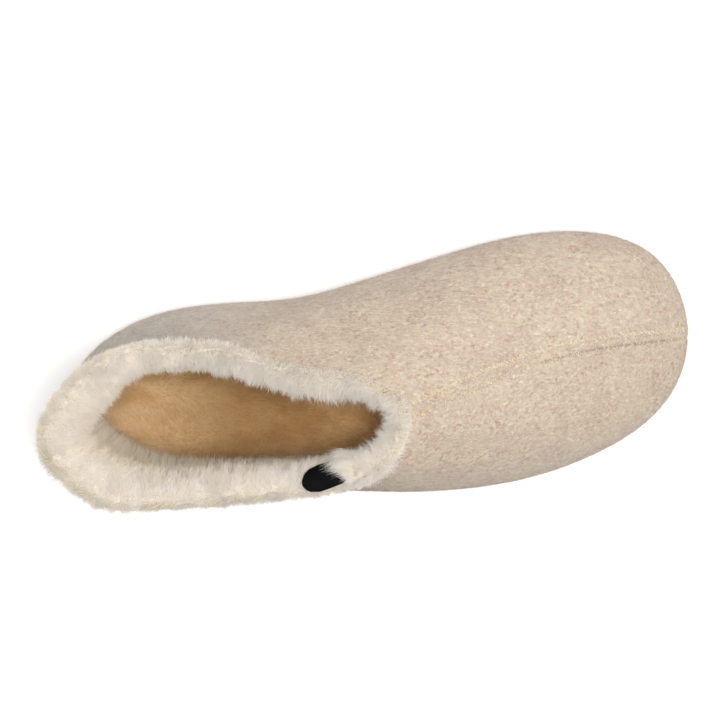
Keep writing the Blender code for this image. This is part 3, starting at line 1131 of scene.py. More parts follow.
class Coat:
    """Coat of hairs on a face, as one mesh of slim triangles."""

    def __init__(self, cut: HairCut) -> None:
        """Keep the cut and start its random draws."""
        self.cut = cut
        self.random = np.random.default_rng(cut.seed)

    def choose(self, weight: np.ndarray) -> np.ndarray:
        """Numbers of the roots to keep, one for each hair, drawn by weight."""
        return self.random.choice(len(weight), self.cut.count, replace=False, p=weight / weight.sum())

    def directions(self, roots: np.ndarray, normals: np.ndarray,
                   comb: np.ndarray) -> tuple[np.ndarray, np.ndarray]:
        """Way that each hair grows.

        Args:
            roots: places of the hairs.
            normals: outward directions there.
            comb: direction in which the coat is combed.

        Returns:
            Unit directions, drawn together in clumps, and the random draw of each hair's clump.
        """
        cut = self.cut
        own = self.random.normal(size=roots.shape)
        cells = np.floor(roots / cut.clump + self.random.normal(0, 0.18, roots.shape)).astype(np.int64)
        keys = cells @ np.array([73856093, 19349663, 83492791])
        _, index = np.unique(keys, return_inverse=True)
        index = index.ravel()
        clump_ways = self.random.normal(size=(index.max() + 1, 3))[index]
        centres = (cells + 0.5) * cut.clump
        pull = (centres - roots) / cut.clump
        way = normals + comb * cut.lean + (own + clump_ways) * cut.scatter + pull * cut.clump_pull
        inward = np.minimum(np.sum(way * normals, -1, keepdims=True) - cut.least_rise, 0)
        return unit(way - normals * inward), clump_ways

    def mesh(self, name: str, roots: np.ndarray, normals: np.ndarray, comb: np.ndarray,
             root_tint: np.ndarray, tip_tint: np.ndarray, reach: np.ndarray | float = 1.0,
             shape: HairShape = HairShape.BENT) -> bpy.types.Mesh:
        """Mesh of the coat.

        Args:
            name: name of the mesh.
            roots: places of the hairs.
            normals: outward directions there.
            comb: direction in which the coat is combed.
            root_tint: colours of the hairs' roots.
            tip_tint: colours of their tips.
            reach: factor on each hair's length.
            shape: shape of each hair.

        Returns:
            The mesh.
        """
        cut = self.cut
        count = len(roots)
        way, clump = self.directions(roots, normals, comb)
        length = cut.length * (1 + cut.vary * self.random.uniform(-1, 1, (count, 1))) * reach
        lying = 1 - way[:, 2:] ** 2
        outward = SKYWARD + lying * (normals * 0.25 + self.random.normal(0, 0.2, way.shape))
        facing = outward - way * np.sum(outward * way, -1, keepdims=True)
        side = unit(np.cross(way, facing)) * cut.width / 2
        droop = unit(way + comb * 0.5 * cut.lean + self.random.normal(0, 0.25, way.shape))
        tip = roots + (way * cut.bend + droop * cut.droop) * length
        shade = unit(normals * 0.6 + way * 0.3 + SKYWARD * cut.glow + clump * cut.clump_shade)
        tone = 1 + cut.clump_tone * np.clip(clump[:, :1], -1.5, 1.5)
        low, high = [
            tint * tone * np.minimum(1, cut.palest / np.max(tint * tone, -1, keepdims=True))
            for tint in (root_tint, tip_tint)]
        if shape is HairShape.BENT:
            bend = roots + way * cut.bend * length
            slim = side * cut.taper
            points = [roots - side, roots + side, bend + slim, bend - slim, tip]
            tints = [low, low, (low + high) / 2, (low + high) / 2, high]
            pattern = np.array([[0, 1, 2], [0, 2, 3], [3, 2, 4]])
        else:
            points = [roots - side, roots + side, tip]
            tints = [low, low, high]
            pattern = np.array([[0, 1, 2]])
        corners = (np.arange(count)[:, None, None] * len(points) + pattern).reshape(-1, 3)
        flat = np.stack(points, 1).reshape(-1, 3)
        tints_flat = np.stack(tints, 1).reshape(-1, 3)
        return Mesher.triangles(name, flat, corners, tints_flat, np.repeat(shade, len(points), 0))


def keep(obj: bpy.types.Object, slot: Slot, *nodes: str) -> bpy.types.Object:
    """Tie a finished piece to the frame.

    Args:
        obj: the piece.
        slot: its material slot; not used.
        nodes: solids that it stands for.

    Returns:
        The same piece.
    """
    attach(obj, BODY)
    if nodes:
        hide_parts(*nodes)
    log.info("made %s", obj.name)
    return obj


@dataclass
class FeltUpper:
    """Felt shell with its centre seam, soft folds and fuzz."""

    form: BootForm
    finish: FeltFinish = FeltFinish()
    columns: int = 340
    rows: int = 76
    seam_bunch: float = 0.6
    groove: float = 0.4 * MM
    groove_width: float = 0.8 * MM
    shade_width: float = 0.5 * MM
    shade: float = 0.5
    shade_low: tuple[float, float] = (0.12, 0.27)
    shade_high: tuple[float, float] = (0.78, 0.58)
    seam_start: float = 0.08
    band_rise: float = 0.25 * MM
    band_edge: float = 1.4 * MM
    undulation: float = 0.35 * MM
    waves: tuple[tuple[float, float, float], ...] = ((95, 0, 60), (-40, 130, 0))
    waves_low: tuple[float, float] = (0.0, 0.25)
    waves_high: tuple[float, float] = (1.0, 5 / 6)
    row_bunch: float = 1.15
    fuzz: HairCut = HairCut(count=185000, length=1.9 * MM, width=0.12 * MM, seed=11)
    fuzz_lift: float = 0.26
    fuzz_light: tuple[float, float] = (0.85, 1.25)
    fuzz_reach: tuple[float, float] = (0.4, 1.5)

    def from_seam(self, around: np.ndarray, up: np.ndarray) -> np.ndarray:
        """Metres on the face from the centre seam."""
        off = np.mod(around - self.form.seam_around(up) + 0.5, 1.0) - 0.5
        return off * self.form.pace(around, up)

    def relief(self, around: np.ndarray, up: np.ndarray, points: np.ndarray) -> np.ndarray:
        """Height of the seam and folds over the plain wall.

        Args:
            around: shares of the way round.
            up: heights up the wall.
            points: the wall's points there.

        Returns:
            Heights along the normal.
        """
        away = self.from_seam(around, up)
        grown = fade(up, 0.0, self.seam_start)
        band = self.form.seam_band(up)
        rise = fade(away, 0.0, self.groove_width) * fade(away, band + self.band_edge, band)
        height = grown * (self.band_rise * rise - self.groove * np.exp(-((away / self.groove_width) ** 2)))
        for crease in CREASES:
            height = height + self._fold(crease, points)
        waves = np.sin(points @ np.array(self.waves).T).mean(1)
        return height + self.undulation * waves * fade(up, *self.waves_low) * fade(up, *self.waves_high)

    def groove_shade(self, around: np.ndarray, up: np.ndarray) -> np.ndarray:
        """Painted shade in the open groove between the toe and the middle of the seam.

        Args:
            around: shares of the way round.
            up: heights up the wall.

        Returns:
            Shares of the painted groove shade's colour.
        """
        away = self.from_seam(around, up)
        shown = fade(up, *self.shade_low) * fade(up, *self.shade_high)
        return self.shade * shown * np.exp(-((away / self.shade_width) ** 2))

    def _fold(self, crease: Crease, points: np.ndarray) -> np.ndarray:
        """Height of one soft fold at points of the wall.

        Args:
            crease: the fold.
            points: points of the plain wall.

        Returns:
            Heights along the normal.
        """
        share = np.linspace(0, 1, 24)
        around = crease.start[0] + (crease.end[0] - crease.start[0]) * share
        up = crease.start[1] + (crease.end[1] - crease.start[1]) * share
        line = self.form.wall(around, up)
        gaps = np.linalg.norm(points[:, None] - line[None], axis=-1)
        nearest = gaps.argmin(1)
        fade = np.sin(np.pi * np.clip(share[nearest] * 0.85 + 0.1, 0, 1))
        return crease.height * MM * fade * np.exp(-((gaps.min(1) / (crease.width * MM)) ** 2))

    def face(self, around: np.ndarray, up: np.ndarray) -> np.ndarray:
        """Felt's face with seam and folds.

        Args:
            around: shares of the way round.
            up: heights up the wall.

        Returns:
            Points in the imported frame.
        """
        points = self.form.wall(around, up)
        normal, _, _ = self.form.wall_axes(around, up)
        return points + normal * self.relief(around, up, points)[:, None]

    def build(self) -> None:
        """Make the shell and its fuzz."""
        def bunched(column: np.ndarray) -> np.ndarray:
            """Way round of a column, closer together at the seam."""
            return column - self.seam_bunch * np.sin(2 * np.pi * column) / (2 * np.pi)

        def place(column: np.ndarray, row: np.ndarray) -> np.ndarray:
            """Points of the felt's face."""
            return self.face(bunched(column), row**self.row_bunch)

        def mark(column: np.ndarray, row: np.ndarray) -> np.ndarray:
            """Painted shade of the groove there."""
            return self.groove_shade(bunched(column), row**self.row_bunch)

        mesh = Mesher.grid("felt_upper", self.columns, self.rows, place, mark)
        shell = Mesher.link("felt_upper", mesh, self.finish.material())
        wall = shell.modifiers.new("felt wall", "SOLIDIFY")
        wall.thickness = self.form.felt
        wall.offset = -1
        keep(shell, Slot.FELT, "upper")
        self._grow_fuzz()

    def _grow_fuzz(self) -> None:
        """Loose fibres that lie on the felt and soften its outline."""
        coat = Coat(self.fuzz)
        draw = coat.random
        around = draw.uniform(0, 1, self.fuzz.count)
        up = draw.uniform(0.01, 1, self.fuzz.count)
        roots = self.face(around, up)
        normal, round_way, up_way = self.form.wall_axes(around, up)
        turn = draw.uniform(0, 2 * np.pi, (self.fuzz.count, 1))
        comb = (round_way * np.cos(turn) + up_way * np.sin(turn)) / self.fuzz_lift
        kind = draw.uniform(0, 1, (self.fuzz.count, 1))
        light = draw.uniform(*self.fuzz_light, (self.fuzz.count, 1))
        tint = light * self.finish.fuzz_tints(kind)
        way = unit(normal + comb)
        length = self.fuzz.length * draw.uniform(*self.fuzz_reach, (self.fuzz.count, 1))
        side = unit(np.cross(way, normal)) * self.fuzz.width / 2
        tip = roots + way * length
        points = np.stack([roots - side, roots + side, tip], 1).reshape(-1, 3)
        corners = np.arange(3 * self.fuzz.count).reshape(-1, 3)
        tints = np.repeat(tint, 3, 0)
        mesh = Mesher.triangles("felt_fuzz", points, corners, tints, np.repeat(normal, 3, 0))
        keep(Mesher.link("felt_fuzz", mesh, self.finish.fuzz_material()), Slot.FELT)


@dataclass
class CollarPile:
    """Deep pile that stands round the opening."""

    form: BootForm
    finish: PileFinish = PileFinish()
    columns: int = 220
    rows: int = 42
    sink: float = 2.6 * MM
    lip_sink: float = 1.3 * MM
    lump: float = 0.3
    cut: HairCut = HairCut(
        count=64000, length=4.6 * MM, width=0.2 * MM, seed=21, scatter=0.34, clump_pull=0.7,
        clump_tone=0.04, clump_shade=0.16, glow=1.5, palest=0.95)
    least_share: float = 0.5
    heel_middle: tuple[float, float, float] = (-85 * MM, -2 * MM, 125 * MM)
    inner_painted_light: float = 0.04
    medial_painted_shade: float = 0.06
    medial_shade_at: float = 0.25
    medial_shade_share: float = 0.2
    lip_painted_light: float = 0.04
    first_row: float = -0.5
    lip_reach: float = 0.5
    lock_reach: float = 0.22
    fold_rise: float = 0.8
    fold_turn: float = 0.7
    fold_start: tuple[float, float] = (5.0, 6.5)
    fold_end: tuple[float, float] = (11.0, 9.5)
    sink_rows: tuple[float, float] = (-0.8, 0.0)
    deep_rows: tuple[float, float] = (0.0, 3.0)
    edge_rows: tuple[float, float] = (-0.2, 0.7)
    lip_rows: tuple[float, float] = (2.5, 0.5)
    crest_rows: tuple[float, float] = (1.0, 3.5)
    inner_rows: tuple[float, float] = (5.0, 8.0)
    flopped_rows: tuple[float, float] = (4.5, 1.5)
    upright_rows: tuple[float, float] = (2.6, 1.0)
    upright_sides: tuple[float, float] = (0.14, 0.22)
    upright_comb: float = 0.8
    inner_comb: float = 0.5
    flopped_comb: float = 2.0
    tab_comb: float = 0.6
    last_hair_row: float = 9.2
    last_row: float = 10.3
    tab_at: float = 0.8237
    tab_row: float = 4.225
    tab_half_rows: float = 1.275
    tab_slant: float = 0.02
    tab_straight: float = 4.75 * MM
    tab_round: float = 5.25 * MM
    under_tab: float = 0.1
    trim_from: tuple[float, float] = (1.1, 1.8)
    trim_reach: tuple[float, float] = (0.35, 1.0)
    core: tuple[float, float] = (-4 * MM, -7 * MM)
    flap: HairCut = HairCut(
        count=3200, length=9 * MM, width=0.16 * MM, seed=23, lean=4.0, scatter=0.7, clump=2.2 * MM,
        clump_pull=0.9, clump_tone=0.1, clump_shade=0.2, palest=0.95)
    flap_painted_shade: float = 0.97
    flap_along: tuple[float, float] = (9.5 * MM, 21 * MM)
    flap_fall: tuple[float, float] = (11.5 * MM, 21 * MM)
    flap_lift: tuple[float, float] = (2.5 * MM, -2.4 * MM)
    flap_half: float = 1.3
    flap_at: float = 0.868
    flap_share: float = 0.055
    throat_flop_at: float = 0.965
    throat_flop_share: float = 0.10

    @staticmethod
    def lumps(around: np.ndarray, row: np.ndarray) -> np.ndarray:
        """Loose locks of the pile, as heights from -1 to 1."""
        turn = around * 2 * np.pi
        return np.sin(turn * 29 + 2 * np.sin(row * 1.3)) * np.sin(row * 1.5 + 2 * np.sin(turn * 11))

    def heel_fold(self, around: np.ndarray, row: np.ndarray) -> np.ndarray:
        """Share of the tight inner bend at the heel, where the ring's face runs together."""
        return self.form.at_heel(around) * fade(row, *self.fold_start) * fade(row, *self.fold_end)

    def depth(self, around: np.ndarray, row: np.ndarray) -> np.ndarray:
        """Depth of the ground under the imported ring's face.

        Args:
            around: shares of the way round.
            row: rows of the section.

        Returns:
            Depths in metres.
        """
        count = len(PILE_SECTION)
        front = np.where(row > count - 2, row - count, row)
        shown = fade(front, self.last_row, self.last_row - 2) * fade(front, *self.sink_rows)
        shown = shown * (1 - self.fold_rise * self.heel_fold(around, row))
        return shown * (self.lip_sink + (self.sink - self.lip_sink) * fade(front, *self.deep_rows))

    def build(self) -> None:
        """Make the ring and its hairs."""
        count = len(PILE_SECTION)

        def place(column: np.ndarray, row: np.ndarray) -> np.ndarray:
            """Points of the ground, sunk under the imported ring.

            Args:
                column: shares of the way round.
                row: shares of the way round the section.

            Returns:
                The points.
            """
            rows = row * count
            point = self.form.pile_point(column, rows)
            normal, _, _ = self.form.pile_axes(column, rows)
            sunk = self.depth(column, rows) * (1 - self.lump * self.lumps(column, rows))
            return point - normal * sunk[:, None]

        mesh = Mesher.grid("collar_pile", self.columns, self.rows, place)
        with Mesher.edited(mesh) as bm:
            bmesh.ops.recalc_face_normals(bm, faces=bm.faces)
        keep(Mesher.link("collar_pile", mesh, self.finish.base_material()), Slot.PILE, "collar_fur")
        self._grow()
        self._grow_flap()

    def _grow(self) -> None:
        """Hairs of the ring, even over its face and short under the tab."""
        form = self.form
        coat = Coat(self.cut)
        many = self.cut.count * 3
        around = coat.random.uniform(0, 1, many)
        row = coat.random.uniform(self.first_row, self.last_hair_row, many)
        here = form.pile_point(around, row)
        step_round = np.linalg.norm(form.pile_point(around + form.step, row) - here, axis=1)
        step_row = np.linalg.norm(form.pile_point(around, row + form.row_step) - here, axis=1)
        area = step_round * step_row
        chosen = coat.choose(np.maximum(area, self.least_share * area.mean()))
        around = around[chosen]
        row = row[chosen]
        normal, round_way, row_way = self._axes(around, row)
        roots = form.pile_point(around, row) - normal * self.depth(around, row)[:, None]
        fold = self.fold_turn * self.heel_fold(around, row)[:, None]
        normal = unit(normal * (1 - fold) + unit(self.heel_middle - roots) * fold)
        inner = fade(row, *self.inner_rows)
        comb = self._comb(around, row, inner, round_way, row_way)
        reach = self._reach(around, row)
        # Painted light brightens the ring's inside and its outer lip; painted shade darkens the ring on the
        # boot's inner side.
        tone = 1 + self.inner_painted_light * inner + self.lip_painted_light * fade(row, *self.lip_rows)
        tone = tone - self.medial_painted_shade * near(around, self.medial_shade_at, self.medial_shade_share)
        self._add("collar_hairs", coat, roots, normal, comb, reach[:, None], inner[:, None], tone[:, None])

    def _comb(self, around: np.ndarray, row: np.ndarray, inner: np.ndarray, round_way: np.ndarray,
              row_way: np.ndarray) -> np.ndarray:
        """Direction in which the ring's hairs lie: into the opening, out at heel and throat, back at the tab.

        Args:
            around: ways round of the hairs.
            row: their rows.
            inner: share of the inner side.
            round_way: direction round the collar.
            row_way: direction along the section.

        Returns:
            The directions, longer where the hairs lie flatter.
        """
        at_throat = near(around, self.throat_flop_at, self.throat_flop_share)
        flopped = np.maximum(self.form.at_heel(around), at_throat) * fade(row, *self.flopped_rows)
        at_sides = fade(np.abs(around - np.round(around)), *self.upright_sides)
        upright = fade(row, *self.upright_rows) * at_sides * (1 - flopped)
        over_tab = near(around, self.flap_at, self.flap_share)[:, None]
        lying = 1 - self.upright_comb * upright - self.inner_comb * inner - self.flopped_comb * flopped
        return row_way * lying[:, None] * (1 - self.tab_comb * over_tab) - round_way * over_tab

    def _reach(self, around: np.ndarray, row: np.ndarray) -> np.ndarray:
        """Factor on the length of the ring's hairs.

        Args:
            around: shares of the way round.
            row: rows of the section.

        Returns:
            The factors.
        """
        rows = [entry[1:] for entry in PILE_REACH]
        lip, crest = np.moveaxis(ClosedCurve([entry.around for entry in PILE_REACH], rows)(around), -1, 0)
        reach = lip + (crest - lip) * fade(row, *self.crest_rows)
        along, side = self._on_tab(around, row)
        from_tab = np.hypot(np.maximum(np.abs(along) - self.tab_straight, 0) / self.tab_round, side)
        ramp = np.interp(from_tab, self.trim_from, self.trim_reach)
        trimmed = np.where(from_tab < self.trim_from[0], self.under_tab, ramp)
        edge = self.lip_reach + (1 - self.lip_reach) * fade(row, *self.edge_rows)
        return reach * trimmed * (1 + self.lock_reach * self.lumps(around, row)) * edge

    def _grow_flap(self) -> None:
        """Longer hairs that fall back over the front end of the tab."""
        coat = Coat(self.flap)
        draw = coat.random
        along = draw.uniform(*self.flap_along, self.flap.count)
        side = draw.uniform(-self.flap_half, self.flap_half, self.flap.count)
        around = self.tab_at + along / self.form.pace(np.full_like(along, self.tab_at), 1.0)
        row = self.tab_row + self.tab_half_rows * side + self.tab_slant * along / MM
        normal, round_way, _ = self._axes(around, row)
        lift = np.interp(along, self.flap_fall, self.flap_lift)
        roots = self.form.pile_point(around, row) + normal * lift[:, None]
        reach = np.interp(side, *zip(*FLAP))
        plain = np.zeros((len(row), 1))
        # Painted shade darkens the flap's hairs a little.
        self._add("tab_flap_hairs", coat, roots, normal, -round_way, reach[:, None], plain, self.flap_painted_shade)

    def _axes(self, around: np.ndarray, row: np.ndarray) -> tuple[np.ndarray, np.ndarray, np.ndarray]:
        """Directions of the ring's face, with the normal out of the ring.

        Args:
            around: shares of the way round.
            row: rows of the section.

        Returns:
            Outward normal, direction round the collar and direction along the section.
        """
        normal, round_way, row_way = self.form.pile_axes(around, row)
        core = self.form.edge_point(around, *self.core)
        outside = np.sign(np.sum(normal * (self.form.pile_point(around, row) - core), 1))
        return normal * outside[:, None], round_way, row_way

    def _on_tab(self, around: np.ndarray, row: np.ndarray) -> tuple[np.ndarray, np.ndarray]:
        """Metres along the tab's length, and share of its half width."""
        along = (around - self.tab_at) * self.form.pace(around, 1.0)
        return along, (row - self.tab_row - self.tab_slant * along / MM) / self.tab_half_rows

    def _add(self, name: str, coat: Coat, roots: np.ndarray, normal: np.ndarray, comb: np.ndarray,
             reach: np.ndarray, inner: np.ndarray, tone: np.ndarray | float) -> None:
        """Tint hairs between cream roots and near white tips, and keep them.

        Args:
            name: name of the piece.
            coat: their cut.
            roots: places of the hairs.
            normal: outward directions there.
            comb: direction in which they are combed.
            reach: factor on their length.
            inner: share of the inner side, where painted warm shade makes the pile warmer.
            tone: factor on their colours, which carries painted light and shade.
        """
        # Painted warm shade on the inner side, over each hair's own random warmth.
        warm = np.clip(coat.random.normal(0.3, 0.25, (len(roots), 1)) + 0.5 * inner, 0, 1)
        tip = colors_between(self.finish.tip, self.finish.root, (0.45 + 0.55 * inner) * warm)
        root = colors_between(self.finish.root, self.finish.tip, 0.4 * (1 - warm))
        mesh = coat.mesh(name, roots, normal, comb, root * tone, tip * tone, reach)
        keep(Mesher.link(name, mesh, self.finish.hair_material()), Slot.PILE)


@dataclass
class WallLining:
    """Pile lining of the inner walls, below the collar."""

    form: BootForm
    finish: PileFinish = PileFinish()
    thick: float = 4.0 * MM
    columns: int = 200
    rows: int = 36
    low: float = 0.03
    high: float = 0.93
    least_shown: float = 0.12
    shown_sides: tuple[float, float] = (0.10, 0.22)
    deep_shade_below: float = 0.6
    warm_share: float = 0.8
    deep_shade_share: float = 0.8
    foot_up: tuple[float, float] = (0.22, 0.10)
    foot_trim: float = 0.6
    hollow_at: float = 0.60
    hollow_share: float = 0.17
    hollow_up: tuple[float, float] = (0.25, 0.40)
    hollow_reach: float = 0.4
    hollow_painted_light: tuple[float, float, float] = (0.05, 0.03, -0.02)
    tone: float = 1.03
    cut: HairCut = HairCut(
        count=62000, length=4.8 * MM, width=0.22 * MM, seed=31, lean=0.5, clump_tone=0.03,
        clump_shade=0.14, glow=1.4, palest=0.95)

    def face(self, around: np.ndarray, up: np.ndarray) -> np.ndarray:
        """Ground of the lining, inside the felt."""
        normal, _, _ = self.form.wall_axes(around, up)
        return self.form.wall(around, up) - normal * (self.form.felt + self.thick)

    def build(self) -> None:
        """Make the ground and its hairs."""
        def place(column: np.ndarray, row: np.ndarray) -> np.ndarray:
            """Points of the lining's ground."""
            return self.face(column, self.low + (self.high - self.low) * row)

        mesh = Mesher.grid("wall_lining", self.columns, self.rows, place)
        mesh.flip_normals()
        ground = Mesher.link("wall_lining", mesh, self.finish.base_material())
        wall = ground.modifiers.new("lining cloth", "SOLIDIFY")
        wall.thickness = self.thick * 0.6
        wall.offset = -1
        keep(ground, Slot.PILE)
        self._grow()

    def _grow(self) -> None:
        """Hairs of the lining, denser where the collar lets them show."""
        coat = Coat(self.cut)
        draw = coat.random
        many = self.cut.count * 3
        around = draw.uniform(0, 1, many)
        up = draw.uniform(self.low, self.high, many)
        shown = self.least_shown + fade(np.abs(around - np.round(around)), *self.shown_sides)
        chosen = coat.choose(self.form.pace(around, up) * shown)
        around = around[chosen]
        up = up[chosen]
        normal, _, up_way = self.form.wall_axes(around, up)
        roots = self.face(around, up)
        warm = np.clip(draw.normal(0.75, 0.2, (self.cut.count, 1)), 0, 1)
        # Painted warm shade towards the footbed.
        deep = self.deep_shade_share * fade(up, self.deep_shade_below, 0.0)[:, None]
        root = colors_between(self.finish.root, self.finish.deep, deep)
        tip = colors_between(self.finish.tip, self.finish.root, self.warm_share * warm)
        tip = colors_between(tip, self.finish.deep, deep)
        foot = fade(up, *self.foot_up)[:, None]
        comb = -up_way * (1 - foot)
        hollow = (near(around, self.hollow_at, self.hollow_share) * fade(up, *self.hollow_up))[:, None]
        # Painted warm light on the hair tips in the shaded hollow at the outer heel.
        tip = tip * (1 + np.array(self.hollow_painted_light) * hollow)
        reach = 1 - self.foot_trim * foot + self.hollow_reach * hollow
        mesh = coat.mesh("lining_hairs", roots, -normal, comb, root * self.tone, tip * self.tone, reach)
        keep(Mesher.link("lining_hairs", mesh, self.finish.hair_material()), Slot.PILE)


@dataclass
class Footbed:
    """Plush insole."""

    form: BootForm
    finish: PlushFinish = PlushFinish()
    sides: int = 180
    rings: int = 30
    half_steps: int = 360
    side_share: float = 0.2
    edge_round: float = 3 * MM
    centre_weld: float = 0.4 * MM
    swirl: float = 0.6
    root_light: float = 0.8
    tip_light: tuple[float, float, float] = (1.12, 1.08, 1.02)
    hair_light: tuple[float, float] = (0.88, 1.2)
    # Lighter and paler towards the heel.
    heel_lighter: tuple[float, float, float] = (0.55, 0.80, 1.30)
    heel_lighter_x: tuple[float, float] = (-55 * MM, -100 * MM)
    # Painted light on the shaded throat end, and painted warm bounce light at its tip.
    throat_painted_light: tuple[float, float, float] = (0.35, 0.40, 0.50)
    throat_light_x: tuple[float, float] = (-50 * MM, -15 * MM)
    throat_painted_bounce: tuple[float, float, float] = (1.0, 0.35, 0.0)
    bounce_x: tuple[float, float] = (-8 * MM, 22 * MM)
    cut: HairCut = HairCut(
        count=150000, length=2.6 * MM, width=0.2 * MM, seed=41, lean=1.1, scatter=0.35, clump=3 * MM,
        clump_pull=0.3, glow=0.25)
    spine_ends: tuple[float, float] = (40 * MM, 222 * MM)

    def place(self, around: np.ndarray, share: np.ndarray) -> np.ndarray:
        """Top face of the footbed.

        Args:
            around: shares of the way round.
            share: 0 on the middle line, 1 at the edge.

        Returns:
            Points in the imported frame.
        """
        edge = self.form.insole_edge(around)
        spine_x = np.clip(edge[:, 0], *self.spine_ends)
        middle = np.stack([spine_x, self._middle(spine_x)], -1)
        plan = middle + (edge - middle) * share[:, None]
        top = self.form.sole + self.form.gap + self.form.insole
        reach = np.linalg.norm(edge - middle, axis=1) * (1 - share)
        over = 1 - np.clip(reach / self.edge_round, 0, 1)
        drop = self.edge_round * (1 - np.sqrt(np.clip(1 - over**2, 0, 1)))
        height = top + self.form.ground(plan[:, 0]) - drop
        return np.column_stack([plan, height]) + self.form.shift

    def _middle(self, x: np.ndarray) -> np.ndarray:
        """Middle of the footbed across, at places along it.

        Args:
            x: places along the boot from the heel, in metres.

        Returns:
            Places across.
        """
        edge = self.form.insole_edge(np.linspace(0, 1, 2 * self.half_steps + 1))
        inner = edge[: self.half_steps + 1][::-1]
        outer = edge[self.half_steps :]
        return (np.interp(x, inner[:, 0], inner[:, 1]) + np.interp(x, outer[:, 0], outer[:, 1])) / 2

    def build(self) -> None:
        """Make the pad and its nap."""
        foot = self.form.sole + self.form.gap

        def place(column: np.ndarray, row: np.ndarray) -> np.ndarray:
            """Points of the pad, from the rim of its underside to the middle of its top.

            Args:
                column: shares of the way round.
                row: shares of the way up its side and over its top.

            Returns:
                The points.
            """
            top = self.place(column, np.clip((1 - row) / (1 - self.side_share), 0, 1))
            under = np.clip(1 - row / self.side_share, 0, 1)
            floor = foot + self.form.ground(top[:, 0] - self.form.shift[0])
            top[:, 2] = top[:, 2] * (1 - under) + floor * under
            return top

        mesh = Mesher.grid("plush_footbed", self.sides, self.rings, place)
        with Mesher.edited(mesh) as bm:
            bmesh.ops.remove_doubles(bm, verts=bm.verts, dist=self.centre_weld)
            bmesh.ops.holes_fill(bm, edges=bm.edges, sides=0)
            bmesh.ops.recalc_face_normals(bm, faces=bm.faces)
        pad = Mesher.link("plush_footbed", mesh, self.finish.material())
        keep(pad, Slot.PLUSH, "insole")
        self._grow()

    def _grow(self) -> None:
        """Nap of the plush, brushed to the toe, with painted light towards the throat."""
        coat = Coat(self.cut)
        draw = coat.random
        many = self.cut.count * 2
        around = draw.uniform(0, 1, many)
        edge = self.form.insole_edge(around)
        spine_x = np.clip(edge[:, 0], *self.spine_ends)
        share = draw.uniform(0, 1, many) ** np.where(spine_x == edge[:, 0], 1.0, 0.5)
        width = np.linalg.norm(edge - np.stack([spine_x, self._middle(spine_x)], -1), axis=1)
        chosen = coat.choose(self.form.pace(around, 0.0) * width)
        roots = self.place(around[chosen], share[chosen])
        normal = np.broadcast_to(SKYWARD, roots.shape)
        x, y, _ = roots.T
        angle = self.swirl * (np.sin(x * 60 + np.sin(y * 90) * 2) + np.sin(y * 140))
        comb = np.stack([np.cos(angle), np.sin(angle), np.zeros_like(angle)], -1)
        light = np.ones((self.cut.count, 3))
        # Lighter and paler towards the heel, painted light at the shaded throat end and painted warm bounce
        # light at its tip.
        for tint, ends in ((self.heel_lighter, self.heel_lighter_x), (self.throat_painted_light, self.throat_light_x),
                           (self.throat_painted_bounce, self.bounce_x)):
            light += np.array(tint) * fade(x, *ends)[:, None]
        light *= draw.uniform(*self.hair_light, (self.cut.count, 1))
        root = light * self.root_light
        tip = light * np.array(self.tip_light)
        mesh = coat.mesh("plush_nap", roots, normal, comb, root, tip, shape=HairShape.STRAIGHT)
        keep(Mesher.link("plush_nap", mesh, self.finish.nap_material()), Slot.PLUSH)


class Thread:
    """Sewing thread as short round stitches."""

    def __init__(self, radius: float, sides: int = 5) -> None:
        """Keep the thread's radius and the sides of its section."""
        self.radius = radius
        self.sides = sides

    def mesh(self, name: str, paths: np.ndarray, normals: np.ndarray, colors: np.ndarray) -> bpy.types.Mesh:
        """Stitches along many short paths.

        Args:
            name: name of the mesh.
            paths: points of each stitch, of shape (stitches, points, 3).
            normals: outward direction at each point.
            colors: a colour for each stitch.

        Returns:
            Mesh of all the stitches, with closed ends.
        """
        stitches, knots, _ = paths.shape
        run = np.gradient(paths, axis=1)
        side = unit(np.cross(run, normals))
        rise = unit(np.cross(side, run))
        turn = np.arange(self.sides) * 2 * np.pi / self.sides
        taper = np.sin(np.linspace(0.25, np.pi - 0.25, knots)) ** 0.4
        ring = side[:, :, None] * np.cos(turn)[:, None] + rise[:, :, None] * np.sin(turn)[:, None]
        points = paths[:, :, None] + ring * self.radius * taper[None, :, None, None]
        faces = []
        for k in range(knots - 1):
            for s in range(self.sides):
                n = (s + 1) % self.sides
                a, b = k * self.sides + s, k * self.sides + n
                faces += [(a, b + self.sides, b), (a, a + self.sides, b + self.sides)]
        last = (knots - 1) * self.sides
        for s in range(1, self.sides - 1):
            faces += [(0, s, s + 1), (last, last + s + 1, last + s)]
        pattern = np.array(faces)
        per = knots * self.sides
        corners = (np.arange(stitches)[:, None, None] * per + pattern).reshape(-1, 3)
        flat = points.reshape(-1, 3)
        tints = np.repeat(colors, per, 0)
        out = unit(ring).reshape(-1, 3)
        return Mesher.triangles(name, flat, corners, tints, out)


